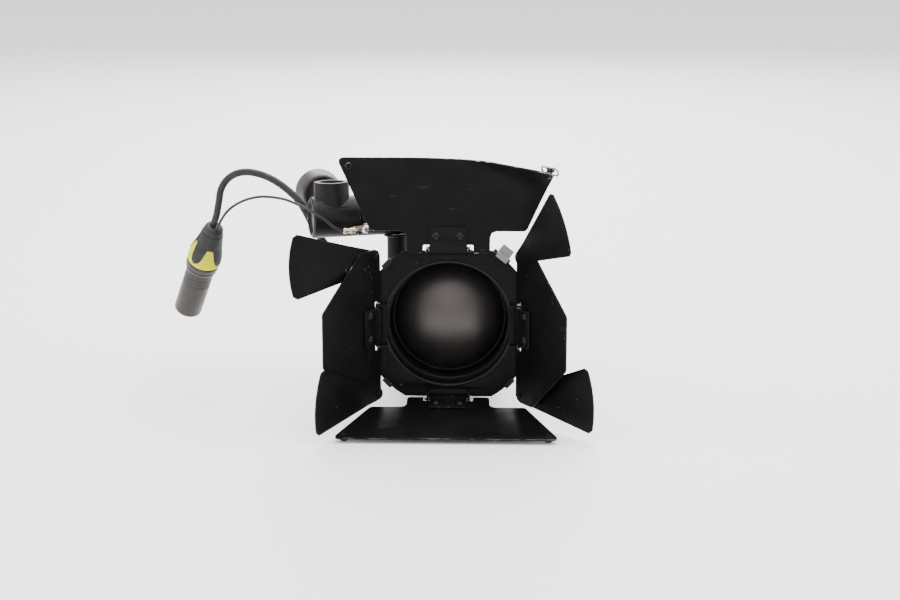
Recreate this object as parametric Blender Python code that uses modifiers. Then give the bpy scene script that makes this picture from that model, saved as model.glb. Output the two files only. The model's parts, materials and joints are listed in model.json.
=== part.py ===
"""Compact studio spotlight head with a rotating eight-leaf barn door, lying on its vent hood.

Lamp frame: the origin is the centre of the barn door plate's front face, -Y is the way the
light leaves, +Y runs back into the housing and +Z is up. One empty carries the whole head, so
that the object stands on z = 0 with its bounding box centred on the origin.
"""

import math

import bmesh
import bpy
from mathutils import Matrix, Vector

MM = 0.001
GAP = 0.3 * MM
ROUND = 32
SMALL_ROUND = 10

# Where the lamp frame stands in the world.
HEAD_X = 6.94 * MM
HEAD_Y = -33.227 * MM

# Barn door plate and its collar.
PLATE_RADIUS = 55.5 * MM
PLATE_HOLE = 40.2 * MM
PLATE_FLAT_Z = 48.0 * MM
PLATE_FLAT_X = 46.0 * MM
PLATE_THICKNESS = 1.2 * MM
COLLAR_WALL = 1.4 * MM
COLLAR_DEPTH = 5.5 * MM

# Hinges: the pin's axis lies in front of the plate, at this distance from the lens axis.
HINGE_Y = -4.2 * MM
HINGE_RADIUS = {"top": 48.8 * MM, "right": 44.5 * MM, "bottom": 48.8 * MM, "left": 44.5 * MM}
SIDE_TURN = {"top": 0, "right": 90, "bottom": 180, "left": 270}
SHEET = 1.0 * MM
PIN_RADIUS = 1.0 * MM
PIN_LENGTH = 29.0 * MM
KNUCKLE_RADIUS = 2.4 * MM
KNUCKLE_BORE = 1.35 * MM
CLIP_WIDTH = 24.0 * MM
CLIP_LENGTH = 15.0 * MM
RIVET_SPACING = 15.4 * MM
RIVET_S = 9.0 * MM

# Each leaf's angle from straight forward, opening outward.
LEAF_ANGLE = {"top": 104.5, "right": 33.5, "bottom": 10.0, "left": 36.7}
LEAF_LENGTH = {"top": 59.0 * MM, "bottom": 56.0 * MM}
LEAF_START = 3.8 * MM
NOTCH_HALF = 16.0 * MM
EAR_START = -1.5 * MM
TAB_HALF = 26.5 * MM
TAB_LENGTH = 12.5 * MM
LEAF_INNER_HALF = 49.4 * MM
LEAF_OUTER_HALF = {"top": 71.5 * MM, "bottom": 70.5 * MM}
SIDE_LENGTH = 53.5 * MM
SIDE_HALF = 50.0 * MM
SIDE_TIP_HALF = 17.4 * MM
SIDE_TAPER_START = 17.5 * MM

# The top leaf's far right corner is rolled forward from a slanting line.
ROLL_START = (-50.0 * MM, LEAF_LENGTH["top"])
ROLL_END = (65.0 * MM, TAB_LENGTH)
ROLL_LINES = 5
ROLL_WIDTH = 35.0 * MM
ROLL_TURN = 62.0

# Fan-shaped corner wings, riveted to the side leaves.
WING_RADIUS = 65.0 * MM
WING_SECTOR = 38.0
WING_PIVOT = (45.0 * MM, 2.0 * MM)
WING_EYE = 3.6 * MM
WING_CORNER = 2.2 * MM
# name: (leaf, side of the leaf along its hinge, layer, swing out of the leaf, crease, bend)
WINGS = {
    "wing_upper_left": ("left", 1, -1, 1.0, 26.0 * MM, 26.0),
    "wing_lower_left": ("left", -1, 1, -8.0, 10.0 * MM, 4.0),
    "wing_upper_right": ("right", -1, 1, 31.0, 10.0 * MM, 5.0),
    "wing_lower_right": ("right", 1, -1, -8.5, 10.0 * MM, 12.0),
}

# Corner studs: feet under the bottom leaf, rivets on the top one.
STUD_INSET = 5.5 * MM
STUD_HALF = 63.5 * MM
STUD_RADIUS = 2.5 * MM
STUD_HEIGHT = 2.8 * MM
REST_TURN = math.radians(LEAF_ANGLE["bottom"])
FLOOR_Z = -(
    HINGE_RADIUS["bottom"]
    + (LEAF_LENGTH["bottom"] - STUD_INSET + STUD_RADIUS) * math.sin(REST_TURN)
    + (SHEET / 2 + STUD_HEIGHT) * math.cos(REST_TURN)
)

# Accessory holder in front of the lens barrel.
HOLDER_INNER = 42.0 * MM
HOLDER_OUTER = 44.6 * MM
HOLDER_FRONT = 1.6 * MM
HOLDER_BACK = 9.0 * MM
ARM_WIDTH = 7.0 * MM
ARM_TURNS = (-45, -135, 135)
HOOK_INNER = 53.9 * MM
HOOK_WALL = 55.8 * MM
HOOK_OUTER = 56.8 * MM
LATCH_TURN = 52
LATCH_PIN = (54.0 * MM, 6.2 * MM)
LATCH_WIDTH = 8.4 * MM

# Lens barrel, lens and its retaining ring.
BARREL_INNER = 38.0 * MM
BARREL_OUTER = 40.2 * MM
BARREL_BACK = 42.0 * MM
LENS_RADIUS = 37.4 * MM
LENS_RIM = 25.0 * MM
LENS_SAG = 19.0 * MM
LENS_EDGE = 3.7 * MM
LIGHT_HOLE = 16.5 * MM

# Lamp house: a rounded box behind the barrel, open at the back and into the vent hood.
HOUSE_FRONT = BARREL_BACK + GAP
HOUSE_BACK = 112.0 * MM
HOUSE_HALF = 34.0 * MM
HOUSE_TOP = 20.0 * MM
HOUSE_BOTTOM = -44.0 * MM
HOUSE_CORNER = 14.0 * MM
HOUSE_WALL = 2.0 * MM
COVER_THICKNESS = 3.0 * MM
HOOD_HALF = 26.0 * MM
HOOD_FRONT = 54.0 * MM
HOOD_BACK = 108.0 * MM
HOOD_WALL = 1.6 * MM

# Lamp carriage on its two rods, driven by the focus screw.
CARRIAGE_Y = 88.0 * MM
CARRIAGE_Z = -34.0 * MM
ROD_X = 20.0 * MM
ROD_RADIUS = 1.5 * MM
FOCUS_RADIUS = 2.5 * MM
FOCUS_KNOB_RADIUS = 11.0 * MM

# Stand mount: a horizontal barrel turned a little towards the front at its left end.
MOUNT_TURN = math.radians(16.0)
MOUNT_LEAN = math.radians(4.0)
MOUNT_LEFT = (-90.7 * MM, 35.0 * MM, 61.8 * MM)
MOUNT_RADIUS = 13.4 * MM
SOCKET_LENGTH = 31.0 * MM
END_RECESS = 1.8 * MM
SOCKET_T = 14.4 * MM
SOCKET_RADIUS = 11.5 * MM
SOCKET_TOP = 22.9 * MM
SOCKET_BORE = 8.15 * MM
SOCKET_BORE_BOTTOM = -10.0 * MM
BLOCK_START = 31.4 * MM
WASHER_RADIUS = 9.0 * MM
WASHER_THICKNESS = 1.1 * MM
BLOCK_END = 68.0 * MM
POST_T = 58.0 * MM
POST_RADIUS = 7.0 * MM
LOCK_HEIGHT = 11.0 * MM
LOCK_KNOB_RADIUS = 15.5 * MM
TERMINAL_T = 34.2 * MM
TERMINAL_DROP = math.radians(-25.0)

# Cords and their connector, as centre lines in the lamp frame.
CABLE_RADIUS = 2.4 * MM
WIRE_RADIUS = 0.9 * MM
CABLE_ROUTE = [
    (-45.7, 92.0, -6.0), (-52.0, 90.0, -4.5), (-61.0, 83.5, 3.5), (-70.0, 75.0, 16.5),
    (-78.5, 66.5, 30.0), (-86.0, 59.0, 42.5), (-91.5, 54.0, 53.0), (-95.8, 52.4, 62.5),
    (-101.3, 53.4, 70.6), (-111.0, 56.0, 78.8), (-121.5, 59.0, 84.3), (-132.0, 61.3, 86.8),
    (-140.5, 62.6, 86.2), (-147.8, 63.6, 82.3), (-152.8, 64.2, 75.2), (-154.9, 64.8, 65.5),
    (-156.8, 66.7, 57.0), (-159.7, 70.7, 49.5),
]
WIRE_ROUTE = [
    (-68.9, 25.6, 54.8), (-74.8, 22.6, 58.6), (-82.0, 20.6, 64.6), (-91.5, 20.8, 70.4),
    (-100.0, 26.0, 73.1), (-108.5, 32.0, 74.7), (-121.5, 41.0, 74.4), (-132.6, 49.0, 71.3),
    (-141.7, 55.0, 66.5), (-148.5, 58.8, 60.8), (-153.9, 63.8, 53.1), (-156.5, 67.4, 46.5),
]
PLUG_TOP = Vector((-158.9, 70.0, 48.3)) * MM
PLUG_END = Vector((-184.5, 105.0, -17.2)) * MM

FINISHES = {
    "black_paint": ((0.012, 0.012, 0.013), 0.45, 0.0),
    "black_casting": ((0.02, 0.02, 0.021), 0.55, 0.0),
    "bright_steel": ((0.72, 0.72, 0.72), 0.3, 1.0),
    "zinc": ((0.6, 0.61, 0.64), 0.35, 1.0),
    "brass": ((0.55, 0.42, 0.2), 0.35, 1.0),
    "grey_plastic": ((0.2, 0.19, 0.18), 0.6, 0.0),
    "light_grey": ((0.5, 0.5, 0.49), 0.5, 0.0),
    "aluminium": ((0.7, 0.7, 0.7), 0.35, 1.0),
    "glass": ((0.05, 0.05, 0.055), 0.05, 0.0),
    "ceramic": ((0.8, 0.78, 0.72), 0.6, 0.0),
    "rubber": ((0.015, 0.015, 0.016), 0.7, 0.0),
    "yellow_plastic": ((0.75, 0.72, 0.02), 0.45, 0.0),
    "dark_plastic": ((0.025, 0.025, 0.03), 0.5, 0.0),
    "satin_nickel": ((0.19, 0.175, 0.16), 0.4, 1.0),
}

# Axis changes: a turned piece's own Z onto +Y, onto the hinge pin, and onto the mount barrel.
Z_TO_BACK = Matrix.Rotation(math.radians(-90), 4, "X")
Z_TO_PIN = Matrix(((0, 0, 1, 0), (1, 0, 0, 0), (0, 1, 0, 0), (0, 0, 0, 1)))
Z_TO_RIGHT = Matrix.Rotation(math.radians(90), 4, "Y")


def clear_scene():
    """Remove every object of the opened file."""
    for obj in list(bpy.data.objects):
        bpy.data.objects.remove(obj, do_unlink=True)


def new_collection(name):
    """Add a collection to the scene."""
    collection = bpy.data.collections.new(name)
    bpy.context.scene.collection.children.link(collection)
    return collection


def make_finish(name):
    """Principled material of one finish."""
    colour, roughness, metallic = FINISHES[name]
    finish = bpy.data.materials.new(name)
    finish.use_nodes = True
    shader = finish.node_tree.nodes["Principled BSDF"]
    shader.inputs["Base Color"].default_value = (*colour, 1.0)
    shader.inputs["Roughness"].default_value = roughness
    shader.inputs["Metallic"].default_value = metallic
    return finish


clear_scene()
PARTS = new_collection("fresnel_spotlight")
CUTTERS = new_collection("cutters")
MATERIALS = {name: make_finish(name) for name in FINISHES}


def move(x=0.0, y=0.0, z=0.0):
    """Translation matrix."""
    return Matrix.Translation((x, y, z))


def turn(degrees, axis):
    """Rotation matrix about a main axis."""
    return Matrix.Rotation(math.radians(degrees), 4, axis)


def frame(name, parent=None, place=Matrix()):
    """Empty that carries pieces."""
    empty = bpy.data.objects.new(name, None)
    PARTS.objects.link(empty)
    empty.parent = parent
    empty.matrix_basis = place
    return empty


def add(name, mesh, finish, parent, place=Matrix()):
    """Named piece of the object, with round faces shaded smooth."""
    piece = bpy.data.objects.new(name, mesh)
    mesh.materials.clear()
    mesh.materials.append(MATERIALS[finish])
    mesh.shade_smooth()
    mesh.set_sharp_from_angle(angle=math.radians(35))
    PARTS.objects.link(piece)
    piece.parent = parent
    piece.matrix_basis = place
    return piece


def cut(piece, mesh, place=Matrix(), parent=None, operation="DIFFERENCE"):
    """Boolean on a piece, with a hidden cutter that stands in the same frame."""
    cutter = bpy.data.objects.new("cutter_" + piece.name, mesh)
    CUTTERS.objects.link(cutter)
    cutter.parent = parent or piece.parent
    cutter.matrix_basis = place
    cutter.hide_render = True
    cutter.display_type = "WIRE"
    boolean = piece.modifiers.new("cut", "BOOLEAN")
    boolean.operation = operation
    boolean.object = cutter
    boolean.solver = "EXACT"


def bmesh_to_mesh(bm, name="shape"):
    """Finish a bmesh as a mesh."""
    mesh = bpy.data.meshes.new(name)
    bm.to_mesh(mesh)
    bm.free()
    return mesh


def evaluated_mesh(obj):
    """Mesh of a temporary object with its modifiers or curve bevel applied, welded and closed."""
    bpy.context.scene.collection.objects.link(obj)
    graph = bpy.context.evaluated_depsgraph_get()
    mesh = bpy.data.meshes.new_from_object(obj.evaluated_get(graph))
    bpy.data.objects.remove(obj, do_unlink=True)
    bm = bmesh.new()
    bm.from_mesh(mesh)
    bmesh.ops.remove_doubles(bm, verts=bm.verts, dist=1e-6)
    bmesh.ops.recalc_face_normals(bm, faces=bm.faces)
    bm.to_mesh(mesh)
    bm.free()
    return mesh


def box(size, centre=(0, 0, 0)):
    """Box mesh of the given size about a centre."""
    bm = bmesh.new()
    bmesh.ops.create_cube(bm, size=1.0)
    bmesh.ops.scale(bm, vec=size, verts=bm.verts)
    bmesh.ops.translate(bm, vec=centre, verts=bm.verts)
    return bmesh_to_mesh(bm)


def cylinder(radius, bottom, top, segments=24, top_radius=None):
    """Cylinder or cone mesh along Z between two heights."""
    bm = bmesh.new()
    bmesh.ops.create_cone(
        bm,
        cap_ends=True,
        segments=segments,
        radius1=radius,
        radius2=radius if top_radius is None else top_radius,
        depth=top - bottom,
        matrix=move(z=(top + bottom) / 2),
    )
    return bmesh_to_mesh(bm)


def turned(profile, steps=32):
    """Turned mesh about Z from (radius, height) points, running down the outer side first."""
    bm = bmesh.new()
    points = [bm.verts.new((radius, 0.0, height)) for radius, height in profile]
    for first, second in zip(points, points[1:]):
        bm.edges.new((first, second))
    if min(radius for radius, _ in profile) > 0:
        bm.edges.new((points[-1], points[0]))
    obj = bpy.data.objects.new("turning", bmesh_to_mesh(bm))
    screw = obj.modifiers.new("turn", "SCREW")
    screw.steps = steps
    screw.render_steps = steps
    screw.use_merge_vertices = True
    screw.merge_threshold = 1e-5
    return evaluated_mesh(obj)


def sheet(outlines, thickness):
    """Flat mesh in XY, centred on Z = 0, from closed outlines; the later ones are holes."""
    curve = bpy.data.curves.new("outline", "CURVE")
    curve.dimensions = "2D"
    curve.fill_mode = "BOTH"
    curve.extrude = thickness / 2
    for outline in outlines:
        spline = curve.splines.new("POLY")
        spline.points.add(len(outline) - 1)
        for point, (x, y) in zip(spline.points, outline):
            point.co = (x, y, 0, 1)
        spline.use_cyclic_u = True
    return evaluated_mesh(bpy.data.objects.new("sheet", curve))


def joined(*placed):
    """One mesh holding several (mesh, matrix) shapes side by side."""
    bm = bmesh.new()
    for mesh, place in placed:
        copy = mesh.copy()
        copy.transform(place)
        bm.from_mesh(copy)
    return bmesh_to_mesh(bm)


def arc(centre, radius, start, end, count):
    """Points along an arc, angles in degrees."""
    angles = [math.radians(start + (end - start) * i / count) for i in range(count + 1)]
    return [(centre[0] + radius * math.cos(a), centre[1] + radius * math.sin(a)) for a in angles]


def circle(radius, count=24, centre=(0, 0)):
    """Closed round outline."""
    return arc(centre, radius, 0, 360, count)[:-1]


def rounded(corners, steps=4):
    """Outline through (x, y, radius) corners, each with its fillet."""
    outline = []
    for i, (x, y, radius) in enumerate(corners):
        corner = Vector((x, y))
        before = (Vector(corners[i - 1][:2]) - corner).normalized()
        after = (Vector(corners[(i + 1) % len(corners)][:2]) - corner).normalized()
        if radius <= 0:
            outline.append((x, y))
            continue
        half = before.angle(after) / 2
        middle = corner + (before + after).normalized() * radius / math.sin(half)
        first = corner + before * radius / math.tan(half) - middle
        last = corner + after * radius / math.tan(half) - middle
        sweep = first.angle_signed(last)
        for step in range(steps + 1):
            spoke = Matrix.Rotation(-sweep * step / steps, 2) @ first
            outline.append(tuple(middle + spoke))
    return outline


def mirrored(half_corners):
    """Corners of a shape that is symmetric about X = 0, from its right half bottom to top."""
    left = [(-x, y, radius) for x, y, radius in reversed(half_corners)]
    return half_corners + left


def tube(route, radius, resolution=2):
    """Round closed mesh along a smooth curve through the route's points."""
    curve = bpy.data.curves.new("tube", "CURVE")
    curve.dimensions = "3D"
    curve.bevel_depth = radius
    curve.bevel_resolution = resolution
    curve.use_fill_caps = True
    spline = curve.splines.new("POLY")
    spline.points.add(len(route) - 1)
    for point, place in zip(spline.points, route):
        point.co = (*place, 1)
    return evaluated_mesh(bpy.data.objects.new("tube", curve))


def smooth_route(points, steps):
    """Points read from a smooth curve through the route's own points, in metres."""
    nodes = [Vector(point) * MM for point in points]
    nodes = [2 * nodes[0] - nodes[1], *nodes, 2 * nodes[-1] - nodes[-2]]
    route = []
    for p0, p1, p2, p3 in zip(nodes, nodes[1:], nodes[2:], nodes[3:]):
        for step in range(steps):
            t = step / steps
            bend = (2 * p0 - 5 * p1 + 4 * p2 - p3) * t * t + (3 * p1 - p0 - 3 * p2 + p3) * t**3
            route.append(p1 + ((p2 - p0) * t + bend) / 2)
    return route + [nodes[-2]]


def rivet(radius, head_radius, bottom, top, head=1.2 * MM, tail=1.0 * MM):
    """Riveted pin along Z: a domed head above `top` and a flat tail below `bottom`."""
    return turned(
        [
            (0, top + head),
            (head_radius * 0.7, top + head * 0.8),
            (head_radius, top),
            (radius, top),
            (radius, bottom),
            (head_radius * 0.8, bottom),
            (head_radius * 0.8, bottom - tail),
            (0, bottom - tail),
        ],
        steps=SMALL_ROUND,
    )


# ---------------------------------------------------------------- barn door


def plate_outline():
    """Disc with flats at the top, bottom and sides."""
    outline = []
    for quarter in range(4):
        first, second = (PLATE_FLAT_X, PLATE_FLAT_Z) if quarter % 2 == 0 else (PLATE_FLAT_Z, PLATE_FLAT_X)
        start = 90 * quarter + math.degrees(math.acos(first / PLATE_RADIUS))
        end = 90 * (quarter + 1) - math.degrees(math.acos(second / PLATE_RADIUS))
        outline += arc((0, 0), PLATE_RADIUS, start, end, 6)
    return outline


def add_plate(parent):
    """Flat ring with a collar behind its hole."""
    middle = move(y=PLATE_THICKNESS / 2) @ Z_TO_BACK
    plate = add(
        "barndoor_plate",
        sheet([plate_outline(), circle(PLATE_HOLE, ROUND)], PLATE_THICKNESS),
        "black_paint",
        parent,
        middle,
    )
    collar_back = COLLAR_DEPTH - PLATE_THICKNESS / 2
    collar = turned(
        [
            (PLATE_HOLE + COLLAR_WALL, collar_back),
            (PLATE_HOLE + COLLAR_WALL, -0.1 * MM),
            (PLATE_HOLE - 0.2 * MM, -0.1 * MM),
            (PLATE_HOLE - 0.2 * MM, collar_back),
        ],
        steps=ROUND,
    )
    cut(plate, collar, middle, operation="UNION")
    brackets = []
    holes = []
    for side, radius in HINGE_RADIUS.items():
        around = turn(SIDE_TURN[side], "Y")
        brackets.append((bracket_mesh(), around @ move(z=radius - 1.85 * MM)))
        holes.append((cylinder(PIN_RADIUS + 0.25 * MM, -20 * MM, 20 * MM, 8), around @ hinge_axis(radius)))
    cut(plate, joined(*brackets), operation="UNION")
    cut(plate, joined(*holes))


def bracket_mesh():
    """Folded strip, welded on the plate, whose two ears hold the hinge pin."""
    outer = 13.9 * MM
    inner = CLIP_WIDTH / 2 + 0.6 * MM
    front = HINGE_Y - 2.3 * MM
    outline = rounded(
        [
            (outer, PLATE_THICKNESS / 2, 0),
            (-outer, PLATE_THICKNESS / 2, 0),
            (-outer, front, 0),
            (-inner, front, 0),
            (-inner, -SHEET, 0.6 * MM),
            (inner, -SHEET, 0.6 * MM),
            (inner, front, 0),
            (outer, front, 0),
        ],
        steps=2,
    )
    return sheet([outline], 7.3 * MM)


def hinge_axis(radius):
    """Placement in a side's frame whose Z runs along the hinge pin."""
    return move(y=HINGE_Y, z=radius) @ Z_TO_RIGHT


def add_hinge_pin(side, arm):
    """Headed pin through the bracket's ears and the clip's knuckle."""
    pin = turned(
        [
            (0, PIN_LENGTH / 2 + 1.1 * MM),
            (1.7 * MM, PIN_LENGTH / 2),
            (PIN_RADIUS, PIN_LENGTH / 2),
            (PIN_RADIUS, -PIN_LENGTH / 2),
            (0, -PIN_LENGTH / 2),
        ],
        steps=SMALL_ROUND,
    )
    add("hinge_pin_" + side, pin, "bright_steel", arm, hinge_axis(HINGE_RADIUS[side]))


def clip_mesh():
    """Knuckle curled round the pin, with a tongue along the leaf's inner face."""
    low = SHEET / 2 + GAP
    high = low + SHEET
    start = math.degrees(math.asin(low / KNUCKLE_RADIUS))
    end = math.degrees(math.asin(high / KNUCKLE_RADIUS)) - 360
    outline = [(CLIP_LENGTH, low)] + arc((0, 0), KNUCKLE_RADIUS, start, end, 12) + [(CLIP_LENGTH, high)]
    return sheet([outline, circle(KNUCKLE_BORE, SMALL_ROUND)], CLIP_WIDTH)


def clip_rivet(top):
    """Rivet with a domed head on the clip, ground flush under the leaf."""
    return turned(
        [
            (0, top + 1.2 * MM),
            (1.9 * MM, top + 0.95 * MM),
            (2.65 * MM, top),
            (1.2 * MM, top),
            (1.2 * MM, -SHEET / 2),
            (0, -SHEET / 2),
        ],
        steps=SMALL_ROUND,
    )


def add_hinge_clip(side, hinge, leaf):
    """Clip set fast on its two rivets, which pass through the leaf."""
    clip = add("hinge_clip_" + side, clip_mesh(), "black_paint", hinge, Z_TO_PIN)
    clip_top = SHEET * 1.5 + GAP
    rivets = []
    holes = []
    for end in (-1, 1):
        spot = move(end * RIVET_SPACING / 2, RIVET_S)
        rivets.append((clip_rivet(clip_top - 0.1 * MM), spot))
        holes.append((cylinder(1.5 * MM, -3 * MM, 4 * MM, SMALL_ROUND), spot))
    cut(clip, joined(*rivets), parent=hinge, operation="UNION")
    cut(leaf, joined(*holes), parent=hinge)


def long_leaf_mesh(side):
    """Top or bottom leaf: a hinge tab, then a trapezoid that widens outward."""
    half = [
        (NOTCH_HALF, LEAF_START, 0.8 * MM),
        (NOTCH_HALF, EAR_START, 0.8 * MM),
        (TAB_HALF, EAR_START, 2.0 * MM),
        (TAB_HALF, TAB_LENGTH, 4.0 * MM),
        (LEAF_INNER_HALF, TAB_LENGTH, 3.0 * MM),
        (LEAF_OUTER_HALF[side], LEAF_LENGTH[side], 2.5 * MM),
    ]
    return sheet([rounded(mirrored(half), steps=2)], SHEET)


def side_leaf_mesh():
    """Side leaf: full height at the hinge, tapering to a short outer edge."""
    half = [
        (NOTCH_HALF, LEAF_START, 0.8 * MM),
        (NOTCH_HALF, EAR_START, 0.8 * MM),
        (SIDE_HALF, EAR_START, 5.0 * MM),
        (SIDE_HALF, SIDE_TAPER_START, 5.0 * MM),
        (SIDE_TIP_HALF, SIDE_LENGTH, 3.0 * MM),
    ]
    return sheet([rounded(mirrored(half), steps=2)], SHEET)


def roll_corner(mesh):
    """Roll a leaf's far corner forward about lines parallel to a slanting one."""
    start = Vector((*ROLL_START, 0))
    along = (Vector((*ROLL_END, 0)) - start).normalized()
    across = Vector((-along.y, along.x, 0))
    bm = bmesh.new()
    bm.from_mesh(mesh)
    step = ROLL_WIDTH / ROLL_LINES
    for line in range(ROLL_LINES):
        bmesh.ops.bisect_plane(
            bm,
            geom=bm.verts[:] + bm.edges[:] + bm.faces[:],
            plane_co=start + across * step * line,
            plane_no=across,
        )
    radius = ROLL_WIDTH / math.radians(ROLL_TURN)
    for vert in bm.verts:
        distance = (vert.co - start).dot(across)
        if distance <= 1e-7:
            continue
        angle = distance / radius
        arm = radius - vert.co.z
        shift = arm * math.sin(angle) - distance
        vert.co += across * shift + Vector((0, 0, arm * (1 - math.cos(angle))))
    return bmesh_to_mesh(bm)


def wing_mesh(crease, bend, layer):
    """Fan about the pivot at the origin, opening along +X and bent at a crease."""
    half = WING_SECTOR / 2
    outline = arc((0, 0), WING_EYE, 90 + half, 270 - half, 6)
    reach = WING_RADIUS - WING_CORNER
    side = math.radians(half)
    outline.append((reach * math.cos(side), -reach * math.sin(side)))
    outline += arc((0, 0), WING_RADIUS, 2.2 - half, half - 2.2, 10)
    outline.append((reach * math.cos(side), reach * math.sin(side)))
    mesh = sheet([outline, circle(1.5 * MM, SMALL_ROUND)], SHEET)
    bm = bmesh.new()
    bm.from_mesh(mesh)
    bmesh.ops.bisect_plane(
        bm,
        geom=bm.verts[:] + bm.edges[:] + bm.faces[:],
        plane_co=(crease, 0, 0),
        plane_no=(1, 0, 0),
    )
    angle = math.radians(bend) * layer
    for vert in bm.verts:
        past = vert.co.x - crease
        if past > 1e-7:
            height = vert.co.z
            vert.co.x = crease + past * math.cos(angle) - height * math.sin(angle)
            vert.co.z = past * math.sin(angle) + height * math.cos(angle)
    return bmesh_to_mesh(bm)


def add_wings(hinges, leaves):
    """Corner wings on their pivot rivets, outside or inside their side leaf."""
    layer_height = SHEET + GAP
    for side in ("left", "right"):
        holes = []
        for name, (leaf, end, layer, swing, crease, bend) in WINGS.items():
            if leaf != side:
                continue
            spot = move(end * WING_PIVOT[0], WING_PIVOT[1])
            lift = move(z=layer * layer_height)
            pivot = frame("pivot_" + name, hinges[side], spot @ lift @ turn(90 - end * swing, "Z"))
            add(name, wing_mesh(crease, bend, layer), "black_paint", pivot)
            low = -SHEET / 2 - GAP - (layer_height if layer < 0 else 0)
            high = SHEET / 2 + GAP + (layer_height if layer > 0 else 0)
            pin_name = name.replace("wing", "wing_rivet")
            add(pin_name, rivet(1.2 * MM, 2.4 * MM, low, high), "black_paint", hinges[side], spot)
            holes.append((cylinder(1.5 * MM, -3 * MM, 3 * MM, SMALL_ROUND), spot))
        cut(leaves[side], joined(*holes), parent=hinges[side])


def add_studs(side, hinge, leaf):
    """Corner studs riveted fast in the leaf, standing on its outer face."""
    shape = turned(
        [
            (0, SHEET / 2 + 1.0 * MM),
            (1.8 * MM, SHEET / 2 + 0.8 * MM),
            (2.2 * MM, 0),
            (STUD_RADIUS, -SHEET / 2 + 0.1 * MM),
            (STUD_RADIUS, -SHEET / 2 - STUD_HEIGHT),
            (0, -SHEET / 2 - STUD_HEIGHT),
        ],
        steps=SMALL_ROUND,
    )
    ends = (-1,) if side == "top" else (-1, 1)
    spots = [move(end * STUD_HALF, LEAF_LENGTH[side] - STUD_INSET) for end in ends]
    cut(leaf, joined(*[(shape, spot) for spot in spots]), parent=hinge, operation="UNION")


def add_barndoor(parent):
    """Rotating plate with four hinged leaves and four corner wings."""
    door = frame("barndoor_axis", parent)
    add_plate(door)
    hinges = {}
    leaves = {}
    for side, radius in HINGE_RADIUS.items():
        arm = frame("side_" + side, door, turn(SIDE_TURN[side], "Y"))
        add_hinge_pin(side, arm)
        place = move(y=HINGE_Y, z=radius) @ turn(180 - LEAF_ANGLE[side], "X")
        hinges[side] = frame("hinge_" + side, arm, place)
        mesh = long_leaf_mesh(side) if side in ("top", "bottom") else side_leaf_mesh()
        if side == "top":
            mesh = roll_corner(mesh)
        leaves[side] = add("leaf_" + side, mesh, "black_paint", hinges[side])
        add_hinge_clip(side, hinges[side], leaves[side])
    add_wings(hinges, leaves)
    for side in ("top", "bottom"):
        add_studs(side, hinges[side], leaves[side])


# ---------------------------------------------------------------- front of the head


def radial(degrees, radius=0.0):
    """Frame in the plate's plane: X along the radius, Y back, at an angle above the right."""
    return turn(-degrees, "Y") @ move(x=radius)


def arm_mesh():
    """Hooked arm, drawn in the plane of radius and depth, that wraps the plate's edge."""
    outline = [
        (43.4 * MM, HOLDER_FRONT + 0.1 * MM),
        (HOOK_WALL, HOLDER_FRONT + 0.1 * MM),
        (HOOK_WALL, -GAP),
        (HOOK_INNER, -GAP),
        (HOOK_INNER, -1.1 * MM),
        (HOOK_OUTER, -1.1 * MM),
        (HOOK_OUTER, 3.4 * MM),
        (43.4 * MM, 3.4 * MM),
    ]
    return sheet([outline], ARM_WIDTH)


def add_accessory_holder(parent):
    """Ring with three hooked arms and a forked lug for the latch."""
    ring = turned(
        [
            (HOLDER_OUTER, HOLDER_BACK),
            (HOLDER_OUTER, HOLDER_FRONT),
            (HOLDER_INNER, HOLDER_FRONT),
            (HOLDER_INNER, HOLDER_BACK),
        ],
        steps=ROUND,
    )
    holder = add("accessory_holder", ring, "black_casting", parent, Z_TO_BACK)
    arms = [(arm_mesh(), radial(angle)) for angle in ARM_TURNS]
    cut(holder, joined(*arms), operation="UNION")
    cheek_length = 12.8 * MM
    cheeks = []
    for end in (-1, 1):
        centre = (43.4 * MM + cheek_length / 2, LATCH_PIN[1], end * (LATCH_WIDTH / 2 + 1.1 * MM))
        cheeks.append((box((cheek_length, 4.6 * MM, 1.6 * MM), centre), radial(LATCH_TURN)))
    cut(holder, joined(*cheeks), operation="UNION")
    bore = radial(LATCH_TURN) @ move(*LATCH_PIN)
    cut(holder, cylinder(1.2 * MM, -9 * MM, 9 * MM, 12), bore)
    return bore


def latch_mesh():
    """Latch drawn in radius and depth about its pin: an eye, a hook and a finger tab."""
    eye = 2.2 * MM
    x, y = LATCH_PIN
    outline = [
        (HOOK_WALL - x, 1.6 * MM - y),
        (HOOK_WALL - x, -GAP - y),
        (HOOK_INNER - x, -GAP - y),
        (HOOK_INNER - x, -1.3 * MM - y),
        (HOOK_OUTER + 0.4 * MM - x, -1.3 * MM - y),
        (HOOK_OUTER + 0.4 * MM - x, 1.2 * MM - y),
        (62.5 * MM - x, 3.0 * MM - y),
        (62.5 * MM - x, 4.2 * MM - y),
        (HOOK_OUTER - 0.4 * MM - x, 5.2 * MM - y),
    ]
    outline += arc((0, 0), eye, 0, 270, 9)
    return sheet([outline, circle(1.2 * MM, SMALL_ROUND)], LATCH_WIDTH)


def add_latch(parent, bore):
    """Retaining latch on its pin."""
    pivot = frame("latch_axis", parent, bore)
    add("latch_lever", latch_mesh(), "light_grey", pivot)
    pin = cylinder(0.9 * MM, -LATCH_WIDTH / 2 - 2.4 * MM, LATCH_WIDTH / 2 + 2.4 * MM, SMALL_ROUND)
    add("latch_pin", pin, "bright_steel", pivot)


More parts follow.
